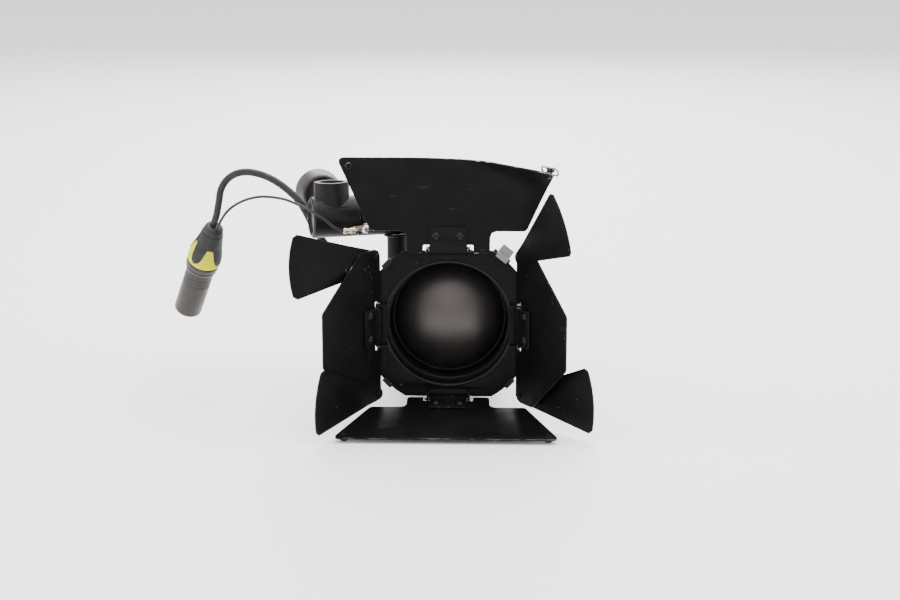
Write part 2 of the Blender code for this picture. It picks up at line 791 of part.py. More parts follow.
def add_lens_barrel(parent):
    """Barrel with a front flange, a lens seat and a rear wall with the light hole."""
    front = HOLDER_BACK + GAP
    seat = LENS_RIM + LENS_EDGE + GAP
    profile = [
        (BARREL_OUTER, BARREL_BACK),
        (BARREL_OUTER, front + 2.0 * MM),
        (HOLDER_OUTER, front + 2.0 * MM),
        (HOLDER_OUTER, front),
        (BARREL_INNER, front),
        (BARREL_INNER, seat),
        (LENS_RADIUS - 2.0 * MM, seat),
        (LENS_RADIUS - 2.0 * MM, BARREL_BACK - 2.0 * MM),
        (LIGHT_HOLE + 0.5 * MM, BARREL_BACK - 2.0 * MM),
        (LIGHT_HOLE + 0.5 * MM, BARREL_BACK),
    ]
    add("lens_barrel", turned(profile, ROUND), "black_casting", parent, Z_TO_BACK)


def add_lens(parent):
    """Plano-convex condenser lens and the ring that holds it in its seat."""
    curve = (LENS_RADIUS**2 + LENS_SAG**2) / (2 * LENS_SAG)
    half_angle = math.asin(LENS_RADIUS / curve)
    steps = 7
    dome = []
    for step in range(steps + 1):
        angle = half_angle * (1 - step / steps)
        height = LENS_RIM - LENS_SAG + curve * (1 - math.cos(angle))
        dome.append((curve * math.sin(angle), height))
    dome[-1] = (0, LENS_RIM - LENS_SAG)
    profile = [(0, LENS_RIM + LENS_EDGE), (LENS_RADIUS, LENS_RIM + LENS_EDGE), *dome]
    add("lens", turned(profile, ROUND), "glass", parent, Z_TO_BACK)
    ring = [
        (BARREL_INNER - GAP, LENS_RIM - GAP),
        (BARREL_INNER - GAP, LENS_RIM - 3.5 * MM),
        (LENS_RADIUS - 2.1 * MM, LENS_RIM - 3.5 * MM),
        (LENS_RADIUS - 2.1 * MM, LENS_RIM - 3.0 * MM),
        (LENS_RADIUS, LENS_RIM - GAP),
    ]
    add("lens_retainer", turned(ring, ROUND), "black_paint", parent, Z_TO_BACK)


# ---------------------------------------------------------------- lamp house


def house_outline(inset=0.0):
    """Rounded box outline of the lamp house, as (x, -z)."""
    half = HOUSE_HALF - inset
    top = -HOUSE_TOP + inset
    bottom = -HOUSE_BOTTOM - inset
    radius = HOUSE_CORNER - inset
    corners = [(half, top, radius), (half, bottom, radius), (-half, bottom, radius), (-half, top, radius)]
    return rounded(corners, steps=4)


def add_house(parent):
    """Lamp house shell: walls, a front wall with the light hole, and slots into the hood."""
    length = HOUSE_BACK - HOUSE_FRONT
    middle = move(y=(HOUSE_FRONT + HOUSE_BACK) / 2) @ Z_TO_BACK
    house = add("lamp_house", sheet([house_outline()], length), "black_casting", parent, middle)
    inner = sheet([house_outline(HOUSE_WALL)], length)
    cut(house, inner, move(y=HOUSE_WALL) @ middle)
    cut(house, cylinder(LIGHT_HOLE, 38 * MM, 50 * MM, 32), Z_TO_BACK)
    slots = []
    for index in range(5):
        y = 62 * MM + index * 9.5 * MM
        slots.append((box((34 * MM, 4.5 * MM, 12 * MM), (0, y, HOUSE_BOTTOM)), Matrix()))
    cut(house, joined(*slots))
    cut(house, cylinder(4.3 * MM, -8 * MM, 8 * MM, 16), gland_place())
    for _, x, y in foot_screw_places():
        cut(house, cylinder(1.5 * MM, HOUSE_TOP - 4 * MM, HOUSE_TOP + 1 * MM, 12), move(x, y))


def cover_screw_places():
    """Opposite sides where the back cover is screwed on, as (name, x, z)."""
    return [("left", -29.0 * MM, -12 * MM), ("right", 29.0 * MM, -12 * MM)]


def add_back_cover(parent):
    """Back cover with a hole for the focus shaft, and its screws."""
    middle = move(y=HOUSE_BACK + GAP + COVER_THICKNESS / 2) @ Z_TO_BACK
    cover = add("back_cover", sheet([house_outline()], COVER_THICKNESS), "black_casting", parent, middle)
    cut(cover, cylinder(FOCUS_RADIUS + GAP, 100 * MM, 130 * MM, 20), move(z=CARRIAGE_Z) @ Z_TO_BACK)
    back = HOUSE_BACK + GAP + COVER_THICKNESS
    screw = turned(
        [
            (0, back + 2.2 * MM),
            (2.2 * MM, back + 1.8 * MM),
            (2.9 * MM, back + GAP),
            (1.3 * MM, back + GAP),
            (1.3 * MM, HOUSE_BACK + 1.0 * MM),
            (0, HOUSE_BACK + 1.0 * MM),
        ],
        steps=SMALL_ROUND,
    )
    for side, x, z in cover_screw_places():
        spot = move(x, 0, z) @ Z_TO_BACK
        cut(cover, cylinder(1.6 * MM, 100 * MM, 130 * MM, 12), spot)
        add("cover_screw_" + side, screw.copy(), "zinc", parent, spot)


def add_vent_hood(parent):
    """Hood with side louvres; its flat face is what the head rests on."""
    top = HOUSE_BOTTOM - GAP
    height = top - FLOOR_Z
    length = HOOD_BACK - HOOD_FRONT
    centre = (0, (HOOD_FRONT + HOOD_BACK) / 2, (top + FLOOR_Z) / 2)
    hood = add("vent_hood", box((2 * HOOD_HALF, length, height), centre), "black_casting", parent)
    inside = (2 * (HOOD_HALF - HOOD_WALL), length - 2 * HOOD_WALL, height)
    cut(hood, box(inside, (0, centre[1], centre[2] + HOOD_WALL)))
    louvres = []
    for index in range(6):
        y = HOOD_FRONT + 7 * MM + index * 8 * MM
        slot = box((2 * HOOD_HALF + 10 * MM, 4 * MM, 9 * MM), (0, y, centre[2] - 1 * MM))
        louvres.append((slot, Matrix()))
    cut(hood, joined(*louvres))


def add_lamp(parent):
    """Lamp, its socket and reflector, riding on the carriage along two rods."""
    slide = frame("carriage_axis", parent, move(y=CARRIAGE_Y))
    carriage = add("lamp_carriage", box((50 * MM, 12 * MM, 8 * MM), (0, 0, CARRIAGE_Z)), "aluminium", slide)
    for x, radius in ((-ROD_X, ROD_RADIUS), (ROD_X, ROD_RADIUS), (0, FOCUS_RADIUS)):
        bore = cylinder(radius + GAP, -20 * MM, 20 * MM, 16)
        cut(carriage, bore, move(x, 0, CARRIAGE_Z) @ Z_TO_BACK)
    socket_bottom = CARRIAGE_Z + 4 * MM + GAP
    socket = add(
        "lamp_socket",
        box((16 * MM, 10 * MM, 14 * MM), (0, 0, socket_bottom + 7 * MM)),
        "ceramic",
        slide,
    )
    bulb_bottom = socket_bottom + 9 * MM
    cut(socket, box((8.8 * MM, 4.8 * MM, 12 * MM), (0, 0, bulb_bottom + 5.7 * MM)))
    profile = [
        (0, 10.5 * MM),
        (2.2 * MM, 9.2 * MM),
        (4.4 * MM, 6.0 * MM),
        (4.8 * MM, 2.0 * MM),
        (4.4 * MM, -8.0 * MM),
        (2.0 * MM, -11.0 * MM),
        (2.0 * MM, bulb_bottom),
        (0, bulb_bottom),
    ]
    add("halogen_lamp", turned(profile, 12), "glass", slide)
    dish = 17.0 * MM
    thickness = 1.0 * MM
    outside = [((dish + thickness) * math.sin(a), (dish + thickness) * math.cos(a)) for a in dish_angles()]
    inside = [(dish * math.sin(a), dish * math.cos(a)) for a in reversed(dish_angles())]
    outside[0] = (0, dish + thickness)
    inside[-1] = (0, dish)
    add("reflector", turned(outside + inside, 20), "bright_steel", slide, Z_TO_BACK)
    rod = cylinder(ROD_RADIUS, HOUSE_FRONT + HOUSE_WALL + GAP, HOUSE_BACK, 12)
    for side, x in (("left", -ROD_X), ("right", ROD_X)):
        add("guide_rod_" + side, rod.copy(), "bright_steel", parent, move(x, 0, CARRIAGE_Z) @ Z_TO_BACK)


def dish_angles():
    """Angles of the reflector's section, from its middle to its rim."""
    return [math.radians(52) * step / 4 for step in range(5)]


def add_focus(parent):
    """Focus screw through the back cover, with its knob outside."""
    shaft = frame("focus_axis", parent, move(z=CARRIAGE_Z))
    knob_front = HOUSE_BACK + COVER_THICKNESS + 1.2 * MM
    screw = cylinder(FOCUS_RADIUS, 56 * MM, knob_front + 5 * MM, 20)
    add("focus_screw", screw, "bright_steel", shaft, Z_TO_BACK)
    knob = add(
        "focus_knob",
        turned(
            [
                (0, knob_front + 12 * MM),
                (FOCUS_KNOB_RADIUS - 1 * MM, knob_front + 12 * MM),
                (FOCUS_KNOB_RADIUS, knob_front + 11 * MM),
                (FOCUS_KNOB_RADIUS, knob_front),
                (0, knob_front),
            ],
            24,
        ),
        "dark_plastic",
        shaft,
        Z_TO_BACK,
    )
    cut(knob, cylinder(FOCUS_RADIUS + GAP, 50 * MM, knob_front + 5.3 * MM, 20), Z_TO_BACK)


# ---------------------------------------------------------------- stand mount


def mount_matrix():
    """Placement whose X runs along the barrel, Y to the back across it and Z up."""
    return move(*MOUNT_LEFT) @ Matrix.Rotation(MOUNT_TURN, 4, "Z")


def foot_screw_places():
    """Screws that hold the mount's foot on the house, as (name, x, y)."""
    return [("front", -19 * MM, 49 * MM), ("back", -19 * MM, 60 * MM)]


def add_mount_foot(parent):
    """Foot plate on the house with the post that carries the tilt barrel."""
    foot_low = HOUSE_TOP + GAP
    post = mount_matrix() @ Vector((POST_T, 0, 0))
    plate = box((29 * MM, 20 * MM, 4 * MM), (-27.5 * MM, 53 * MM, foot_low + 2 * MM))
    foot = add("mount_foot", plate, "black_casting", parent)
    post_top = MOUNT_LEFT[2] - MOUNT_RADIUS - 1.4 * MM
    column = turned(
        [
            (0, post_top),
            (POST_RADIUS, post_top),
            (POST_RADIUS, foot_low + 6 * MM),
            (POST_RADIUS + 1.5 * MM, foot_low + 1 * MM),
            (0, foot_low + 1 * MM),
        ],
        24,
    )
    cut(foot, column, move(post.x, post.y), operation="UNION")
    top = foot_low + 4 * MM
    shape = turned(
        [
            (0, top + 2.4 * MM),
            (2.2 * MM, top + 2.0 * MM),
            (2.8 * MM, top + GAP),
            (1.2 * MM, top + GAP),
            (1.2 * MM, HOUSE_TOP - 3 * MM),
            (0, HOUSE_TOP - 3 * MM),
        ],
        SMALL_ROUND,
    )
    for end, x, y in foot_screw_places():
        cut(foot, cylinder(1.5 * MM, foot_low - 2 * MM, top + 2 * MM, 12), move(x, y))
        add("mount_screw_" + end, shape.copy(), "zinc", parent, move(x, y))
    washer = turned(
        [
            (POST_RADIUS + 2.5 * MM, post_top + 1.1 * MM),
            (POST_RADIUS + 2.5 * MM, post_top + GAP),
            (2.0 * MM, post_top + GAP),
            (2.0 * MM, post_top + 1.1 * MM),
        ],
        24,
    )
    add("post_washer", washer, "dark_plastic", parent, move(post.x, post.y))


def add_tilt_block(parent):
    """Fixed half of the barrel, bored for the tilt bolt and tapped for the earth screw."""
    barrel = frame("tilt_block_frame", parent, mount_matrix())
    mesh = cylinder(MOUNT_RADIUS, BLOCK_START, BLOCK_END, ROUND)
    block = add("tilt_block", mesh, "black_casting", barrel, Z_TO_RIGHT)
    cut(block, cylinder(3.3 * MM, BLOCK_START - 5 * MM, BLOCK_END - 6 * MM, 20), Z_TO_RIGHT)
    washer_end = SOCKET_LENGTH + GAP + WASHER_THICKNESS
    cut(block, cylinder(WASHER_RADIUS + GAP, SOCKET_LENGTH, washer_end + GAP, 24), Z_TO_RIGHT)
    washer = turned(
        [
            (WASHER_RADIUS, washer_end),
            (WASHER_RADIUS, SOCKET_LENGTH + GAP),
            (3.4 * MM, SOCKET_LENGTH + GAP),
            (3.4 * MM, washer_end),
        ],
        20,
    )
    add("friction_washer", washer, "bright_steel", barrel, Z_TO_RIGHT)
    bolt = cylinder(3.0 * MM, 25.0 * MM, BLOCK_END - 8 * MM, 20)
    add("tilt_bolt", bolt, "bright_steel", barrel, Z_TO_RIGHT)
    spot = terminal_spot()
    cut(block, cylinder(1.8 * MM, -6 * MM, 4 * MM, 12), spot, parent=barrel)
    return barrel


def terminal_spot():
    """Placement on the barrel's surface in the mount frame: Z straight out of it, X along."""
    out = Matrix.Rotation(math.radians(90) - TERMINAL_DROP, 4, "X")
    return move(x=TERMINAL_T) @ out @ move(z=MOUNT_RADIUS)


def add_terminal(barrel):
    """Ring terminal with its crimp, held on the barrel by a screw."""
    spot = terminal_spot()
    lug = add(
        "ring_terminal",
        sheet([terminal_outline(), circle(1.9 * MM, 16)], 0.8 * MM),
        "brass",
        barrel,
        spot @ move(z=0.9 * MM),
    )
    crimp = cylinder(2.0 * MM, 7.5 * MM, 15.5 * MM, 12)
    cut(lug, crimp, spot @ move(z=2.6 * MM) @ turn(-90, "Y"), operation="UNION")
    screw = turned(
        [
            (0, 3.9 * MM),
            (2.0 * MM, 3.6 * MM),
            (3.1 * MM, 2.4 * MM),
            (3.1 * MM, 1.6 * MM),
            (1.5 * MM, 1.6 * MM),
            (1.5 * MM, -5.0 * MM),
            (0, -5.0 * MM),
        ],
        20,
    )
    add("terminal_screw", screw, "zinc", barrel, spot)


def terminal_outline():
    """Ring with a tongue towards the crimp."""
    return arc((0, 0), 4.0 * MM, -150, 150, 14) + [(-9.0 * MM, 1.6 * MM), (-9.0 * MM, -1.6 * MM)]


def add_stand_socket(parent):
    """T-piece: the tilting half of the barrel with the bored boss for a stand spigot."""
    tilt = frame("tilt_axis", parent, mount_matrix() @ Matrix.Rotation(-MOUNT_LEAN, 4, "X"))
    barrel = turned(
        [
            (0, SOCKET_LENGTH),
            (MOUNT_RADIUS - 0.8 * MM, SOCKET_LENGTH),
            (MOUNT_RADIUS, SOCKET_LENGTH - 0.8 * MM),
            (MOUNT_RADIUS, 1.0 * MM),
            (MOUNT_RADIUS - 1.0 * MM, 0),
            (MOUNT_RADIUS - 2.4 * MM, 0),
            (MOUNT_RADIUS - 3.0 * MM, END_RECESS),
            (0, END_RECESS),
        ],
        ROUND,
    )
    socket = add("stand_socket", barrel, "black_casting", tilt, Z_TO_RIGHT)
    boss = cylinder(SOCKET_RADIUS, -2 * MM, SOCKET_TOP, ROUND)
    cut(socket, boss, move(x=SOCKET_T), parent=tilt, operation="UNION")
    bore = cylinder(SOCKET_BORE, SOCKET_BORE_BOTTOM, SOCKET_TOP + 5 * MM, 24)
    cut(socket, bore, move(x=SOCKET_T), parent=tilt)
    bolt_hole = cylinder(3.3 * MM, 24.6 * MM, SOCKET_LENGTH + 5 * MM, 20)
    cut(socket, bolt_hole, Z_TO_RIGHT, parent=tilt)
    lock = frame("lock_axis", tilt, move(SOCKET_T, 0, LOCK_HEIGHT))
    cut(socket, cylinder(4.3 * MM, 5 * MM, 22 * MM, 20), Z_TO_BACK, parent=lock)
    knob = turned(
        [
            (0, 51 * MM),
            (LOCK_KNOB_RADIUS - 1.2 * MM, 51 * MM),
            (LOCK_KNOB_RADIUS, 49.5 * MM),
            (LOCK_KNOB_RADIUS - 0.4 * MM, 44 * MM),
            (LOCK_KNOB_RADIUS - 2.5 * MM, 33 * MM),
            (LOCK_KNOB_RADIUS - 3.5 * MM, 32 * MM),
            (7.0 * MM, 31.5 * MM),
            (6.0 * MM, 16 * MM),
            (4.0 * MM, 15.6 * MM),
            (4.0 * MM, 9.2 * MM),
            (3.0 * MM, 8.6 * MM),
            (0, 8.6 * MM),
        ],
        24,
    )
    add("lock_knob", knob, "grey_plastic", lock, Z_TO_BACK)


# ---------------------------------------------------------------- cords and connector


def gland_place():
    """Placement of the cable gland in the house's left wall, Z straight out of it."""
    return move(-HOUSE_HALF, 92 * MM, -6 * MM) @ turn(-90, "Y")


def add_gland(parent):
    """Tapered strain relief in the house's side wall."""
    profile = [
        (3.4 * MM, 11.2 * MM),
        (4.4 * MM, 4.5 * MM),
        (6.2 * MM, 4.0 * MM),
        (6.2 * MM, GAP),
        (4.0 * MM, GAP),
        (4.0 * MM, -HOUSE_WALL - 0.6 * MM),
        (2.9 * MM, -HOUSE_WALL - 0.6 * MM),
        (2.9 * MM, 11.2 * MM),
    ]
    add("cable_gland", turned(profile, 20), "rubber", parent, gland_place())


def add_cords(parent):
    """Main cable and earth wire, both as long as they lie."""
    add("main_cable", tube(smooth_route(CABLE_ROUTE, 2), CABLE_RADIUS), "rubber", parent)
    add("earth_wire", tube(smooth_route(WIRE_ROUTE, 3), WIRE_RADIUS, 2), "rubber", parent)


def plug_place():
    """Placement of the connector: Z from the cable down to its open end."""
    along = (PLUG_END - PLUG_TOP).normalized()
    return Matrix.Translation(PLUG_TOP) @ along.to_track_quat("Z", "X").to_matrix().to_4x4()


def add_plug(parent):
    """Cable connector: soft boot, yellow ring, collar, metal shell and insert."""
    place = frame("plug_axis", parent, plug_place())
    boot = [
        (8.2 * MM, 19.7 * MM),
        (6.6 * MM, 8 * MM),
        (5.8 * MM, 0.8 * MM),
        (5.2 * MM, 0),
        (0, 0),
    ]
    add("plug_boot", turned([(0, 19.7 * MM), *boot], 16), "rubber", place)
    ring = [(0, 31 * MM), (11.4 * MM, 31 * MM), (11.5 * MM, 26 * MM), (9.4 * MM, 20 * MM), (0, 20 * MM)]
    add("plug_ring", turned(ring, 20), "yellow_plastic", place)
    collar = [
        (0, 38.7 * MM),
        (10.4 * MM, 38.7 * MM),
        (11.2 * MM, 36 * MM),
        (11.2 * MM, 31.3 * MM),
        (0, 31.3 * MM),
    ]
    add("plug_collar", turned(collar, 20), "dark_plastic", place)
    shell = [
        (9.5 * MM, 78 * MM),
        (9.5 * MM, 39.0 * MM),
        (8.2 * MM, 39.0 * MM),
        (8.2 * MM, 78 * MM),
    ]
    add("plug_shell", turned(shell, 24), "satin_nickel", place)
    add("plug_insert", cylinder(7.8 * MM, 39.0 * MM, 76.8 * MM, 16), "dark_plastic", place)


def build():
    """Assemble the head under one empty."""
    head = frame("head", None, move(HEAD_X, HEAD_Y, -FLOOR_Z))
    add_barndoor(head)
    bore = add_accessory_holder(head)
    add_latch(head, bore)
    add_lens_barrel(head)
    add_lens(head)
    add_house(head)
    add_back_cover(head)
    add_vent_hood(head)
    add_lamp(head)
    add_focus(head)
    add_mount_foot(head)
    barrel = add_tilt_block(head)
    add_terminal(barrel)
    add_stand_socket(head)
    add_gland(head)
    add_cords(head)
    add_plug(head)


build()
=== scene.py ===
"""Looks of a compact studio spotlight lying on its vent hood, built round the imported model.

Places come from the frame: LAMP is the centre of the barn door plate's front face, with the
light leaving along -Y. Sizes are in millimetres and are turned into metres by `MM`.
"""

import json
import math

import bmesh
import bpy
from mathutils import Matrix, Vector


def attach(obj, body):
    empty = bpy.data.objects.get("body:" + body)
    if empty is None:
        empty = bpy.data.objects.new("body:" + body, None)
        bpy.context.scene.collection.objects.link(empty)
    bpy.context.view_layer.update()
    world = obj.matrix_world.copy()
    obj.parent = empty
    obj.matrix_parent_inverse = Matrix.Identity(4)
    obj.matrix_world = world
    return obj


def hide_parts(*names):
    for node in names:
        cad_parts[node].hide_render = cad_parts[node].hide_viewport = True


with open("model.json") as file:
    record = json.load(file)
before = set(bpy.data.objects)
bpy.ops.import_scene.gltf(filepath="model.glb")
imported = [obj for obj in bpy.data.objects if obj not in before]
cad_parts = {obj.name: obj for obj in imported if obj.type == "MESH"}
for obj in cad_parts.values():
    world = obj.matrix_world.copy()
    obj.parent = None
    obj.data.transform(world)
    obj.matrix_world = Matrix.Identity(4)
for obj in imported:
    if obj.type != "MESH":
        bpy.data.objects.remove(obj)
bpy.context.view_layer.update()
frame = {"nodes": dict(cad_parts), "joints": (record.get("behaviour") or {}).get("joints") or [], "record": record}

MM = 0.001
NODES = frame["nodes"]
JOINTS = {joint["name"]: joint for joint in frame["joints"]}
BODIES = frame["record"]["behaviour"]["bodies"]
BODY_OF = {node: body for body, nodes in BODIES.items() for node in nodes}
LAMP = Vector(JOINTS["barndoor_rotate"]["pos_m"])

# Camera, as seen from a little above and to the right of the lens axis.
VIEW_TURN = math.radians(1.6)
VIEW_RISE = math.radians(13.8)
VIEW_FROM = Vector((35.36, -1229.17, 317.85))
VIEW_LENS = 79.36

# Cords, as centre lines in the lamp's frame; the same routes as their solids.
CABLE_DIAMETER = 4.8
WIRE_DIAMETER = 1.8
CABLE_ROUTE = [
    (-45.7, 92.0, -6.0), (-52.0, 90.0, -4.5), (-61.0, 83.5, 3.5), (-70.0, 75.0, 16.5),
    (-78.5, 66.5, 30.0), (-86.0, 59.0, 42.5), (-91.5, 54.0, 53.0), (-95.8, 52.4, 62.5),
    (-101.3, 53.4, 70.6), (-111.0, 56.0, 78.8), (-121.5, 59.0, 84.3), (-132.0, 61.3, 86.8),
    (-140.5, 62.6, 86.2), (-147.8, 63.6, 82.3), (-152.8, 64.2, 75.2), (-154.9, 64.8, 65.5),
    (-156.8, 66.7, 57.0), (-159.7, 70.7, 49.5),
]
WIRE_ROUTE = [
    (-68.9, 25.6, 54.8), (-74.8, 22.6, 58.6), (-82.0, 20.6, 64.6), (-91.5, 20.8, 70.4),
    (-100.0, 26.0, 73.1), (-108.5, 32.0, 74.7), (-121.5, 41.0, 74.4), (-132.6, 49.0, 71.3),
    (-141.7, 55.0, 66.5), (-148.5, 58.8, 60.8), (-153.9, 63.8, 53.1), (-156.5, 67.4, 46.5),
]
PLUG_TOP = Vector((-158.9, 70.0, 48.3))
PLUG_END = Vector((-184.5, 105.0, -17.2))

# Down the connector's axis: where the boot's tongues and the coding ring start.
TONGUE_START = 5.0
RING_START = 15.8

# Barn door, as in the solids.
SIDE_TURN = {"top": 0, "right": 90, "bottom": 180, "left": 270}
HINGE_RADIUS = {"top": 48.8, "right": 44.5, "bottom": 48.8, "left": 44.5}
HINGE_Y = -4.2
LEAF_ANGLE = {"top": 104.5, "right": 33.5, "bottom": 10.0, "left": 36.7}
RIVET_S = 9.0
RIVET_SPACING = 15.4
CLIP_RIVET_HEAD = [
    (0, 3.35), (1.0, 3.25), (1.9, 2.95), (2.6, 2.35), (2.8, 1.85), (2.7, 1.75), (0, 1.75),
]

# Stud in the top leaf's rolled corner, in the hinge's placement.
CORNER_STUD = (62.4, 46.4, 22.0)
CORNER_FACING = 68.0
CORNER_TILT = -72.0

# Lens: its radius, the rise of its dome, and how far back its rim lies.
LENS_RADIUS = 37.4
LENS_RISE = 19.0
LENS_RIM = 25.0

# Stand mount.
MOUNT_LEFT = Vector((-90.7, 35.0, 61.8))
MOUNT_TURN = 16.0
MOUNT_LEAN = 4.0
MOUNT_RADIUS = 13.4
SOCKET_T = 14.4
LOCK_HEIGHT = 11.0

# Ring terminal: its place along the mount's barrel, and how far below level its screw points.
TERMINAL_T = 34.2
TERMINAL_DIP = 25.0

# Steps round a large turned piece.
FINE = 128

Z_TO_BACK = Matrix.Rotation(math.radians(-90), 4, "X")


# ---------------------------------------------------------------- placing


def shift(x=0.0, y=0.0, z=0.0):
    """Translation by millimetres."""
    return Matrix.Translation(Vector((x, y, z)) * MM)


def turn(degrees, axis):
    """Rotation about a main axis."""
    return Matrix.Rotation(math.radians(degrees), 4, axis)


def lamp(x=0.0, y=0.0, z=0.0):
    """Placement in the lamp's frame, from millimetres."""
    return Matrix.Translation(LAMP) @ shift(x, y, z)


def hinge(side):
    """Placement on a leaf's hinge pin: X along it, Y out along the leaf, Z on its inner side."""
    lifted = lamp() @ turn(SIDE_TURN[side], "Y") @ shift(0, HINGE_Y, HINGE_RADIUS[side])
    return lifted @ turn(180 - LEAF_ANGLE[side], "X")


def mount():
    """Placement whose X runs along the mount's barrel from its left end, with Z up."""
    return lamp(*MOUNT_LEFT) @ turn(MOUNT_TURN, "Z")


def socket():
    """The mount's frame, leaning with the stand socket."""
    return mount() @ turn(-MOUNT_LEAN, "X")


def plug():
    """Placement down the connector's axis, from where the cable goes in."""
    along = (PLUG_END - PLUG_TOP).normalized()
    return lamp(*PLUG_TOP) @ along.to_track_quat("Z", "X").to_matrix().to_4x4()


# ---------------------------------------------------------------- materials


class Surface:
    """A Principled material being given its procedural detail."""

    def __init__(self, name, colour, roughness, metallic=0.0):
        self.material = bpy.data.materials.new(name)
        self.material.use_nodes = True
        self.nodes = self.material.node_tree.nodes
        self.links = self.material.node_tree.links
        self.shader = self.nodes["Principled BSDF"]
        self.shader.inputs["Base Color"].default_value = (*colour, 1.0)
        self.shader.inputs["Roughness"].default_value = roughness
        self.shader.inputs["Metallic"].default_value = metallic
        self.colour = (*colour, 1.0)
        self.places = self.nodes.new("ShaderNodeTexCoord").outputs["Object"]
        self.height = None

    def stretched(self, scale):
        """Coordinates scaled by axis, for brushed or drawn grain."""
        mapping = self.nodes.new("ShaderNodeMapping")
        mapping.inputs["Scale"].default_value = scale
        self.links.new(self.places, mapping.inputs["Vector"])
        return mapping.outputs["Vector"]

    def noise(self, scale, detail=3.0, places=None):
        """Noise between 0 and 1; scale is in features per metre."""
        node = self.nodes.new("ShaderNodeTexNoise")
        node.inputs["Scale"].default_value = scale
        node.inputs["Detail"].default_value = detail
        self.links.new(places or self.places, node.inputs["Vector"])
        return node.outputs["Fac"]

    def cells(self, scale):
        """Distance to scattered points; scale is in points per metre."""
        node = self.nodes.new("ShaderNodeTexVoronoi")
        node.inputs["Scale"].default_value = scale
        self.links.new(self.places, node.inputs["Vector"])
        return node.outputs["Distance"]

    def between(self, value, low, high, to_low=0.0, to_high=1.0):
        """Value rescaled from one range to another, and clamped."""
        node = self.nodes.new("ShaderNodeMapRange")
        node.inputs["From Min"].default_value = low
        node.inputs["From Max"].default_value = high
        node.inputs["To Min"].default_value = to_low
        node.inputs["To Max"].default_value = to_high
        self.links.new(value, node.inputs["Value"])
        return node.outputs["Result"]

    def product(self, first, second):
        """Product of two values."""
        node = self.nodes.new("ShaderNodeMath")
        node.operation = "MULTIPLY"
        self.links.new(first, node.inputs[0])
        self.links.new(second, node.inputs[1])
        return node.outputs[0]

    def larger(self, first, second):
        """Larger of two values."""
        node = self.nodes.new("ShaderNodeMath")
        node.operation = "MAXIMUM"
        self.links.new(first, node.inputs[0])
        self.links.new(second, node.inputs[1])
        return node.outputs[0]

    def along(self, axis):
        """Place along a main axis, in metres."""
        node = self.nodes.new("ShaderNodeSeparateXYZ")
        self.links.new(self.places, node.inputs["Vector"])
        return node.outputs[axis]

    def tint(self, share, colour):
        """Blend the base colour towards another where share is high."""
        node = self.nodes.new("ShaderNodeMix")
        node.data_type = "RGBA"
        self.links.new(share, node.inputs["Factor"])
        base = self.shader.inputs["Base Color"]
        if base.is_linked:
            self.links.new(base.links[0].from_socket, node.inputs["A"])
        else:
            node.inputs["A"].default_value = self.colour
        node.inputs["B"].default_value = (*colour, 1.0)
        self.links.new(node.outputs["Result"], base)

    def drive(self, socket_name, value):
        """Let a value set one of the shader's inputs."""
        self.links.new(value, self.shader.inputs[socket_name])

    def bump(self, value, strength, depth):
        """Raise the surface by a value; depth is in millimetres."""
        node = self.nodes.new("ShaderNodeBump")
        node.inputs["Strength"].default_value = strength
        node.inputs["Distance"].default_value = depth * MM
        self.links.new(value, node.inputs["Height"])
        if self.height is not None:
            self.links.new(self.height, node.inputs["Normal"])
        self.height = node.outputs["Normal"]
        self.links.new(self.height, self.shader.inputs["Normal"])


def black_paint(name="black_paint", sheen=0.08, low=0.38, high=0.54):
    """Satin black paint on sheet steel, with handling marks, specks and faint scratches."""
    skin = Surface(name, (0.0022, 0.0022, 0.0026), 0.46)
    skin.shader.inputs["Specular IOR Level"].default_value = sheen
    cloud = skin.noise(38, 4)
    skin.tint(skin.between(cloud, 0.45, 0.75), (0.0040, 0.0040, 0.0046))
    scratch = skin.noise(130, 2, skin.stretched((0.35, 6.0, 1.4)))
    fine = skin.between(scratch, 0.705, 0.73)
    patch = skin.between(skin.noise(24, 1), 0.5, 0.62)
    skin.tint(skin.product(fine, patch), (0.03, 0.03, 0.032))
    speck = skin.between(skin.cells(210), 0.07, 0.05)
    rare = skin.between(skin.noise(60, 1), 0.6, 0.64)
    skin.tint(skin.product(speck, rare), (0.14, 0.14, 0.14))
    skin.drive("Roughness", skin.between(skin.noise(85, 5), 0.3, 0.7, low, high))
    skin.bump(skin.noise(1500, 2), 0.18, 0.05)
    skin.bump(skin.noise(26, 2), 0.25, 0.6)
    return skin.material


def paint_edge_wear_and_highlight(name="paint_edge_wear_and_highlight", bright_band=None, low=0.36, high=0.46):
    """Sheet edges, with chips where the paint has come off to bright metal, in a base colour a little lighter than
    the paint that is a painted highlight along every edge.

    The band argument, if given, is an axis and the two places, in metres, between which a band of the edges turns
    to bright metal: a painted highlight at the top leaf's right end, and a brighter front edge on the bottom leaf.
    """
    # Base colour a little lighter than the black paint: a painted highlight along the edges.
    skin = Surface(name, (0.004, 0.004, 0.0046), 0.4)
    skin.shader.inputs["Specular IOR Level"].default_value = 0.22
    chips = skin.between(skin.noise(310, 4), 0.57, 0.61)
    start, full = (0.48, 0.6) if bright_band else (0.57, 0.66)
    stretch = skin.between(skin.noise(34, 1), start, full)
    bright_metal_share = skin.product(chips, stretch)
    if bright_band:
        # Band of bright metal along one axis: a painted highlight on the top leaf, a brighter front edge on the
        # bottom leaf.
        band_share = skin.between(skin.along(bright_band[0]), bright_band[1], bright_band[2])
        bright_metal_share = skin.larger(bright_metal_share, skin.product(band_share, skin.between(skin.noise(120, 3), low, high)))
    skin.tint(bright_metal_share, (0.55, 0.54, 0.52))
    skin.drive("Metallic", skin.between(bright_metal_share, 0, 1, 0, 0.85))
    skin.drive("Roughness", skin.between(skin.noise(200, 3), 0.3, 0.7, 0.3, 0.45))
    skin.bump(skin.noise(1500, 2), 0.15, 0.05)
    return skin.material


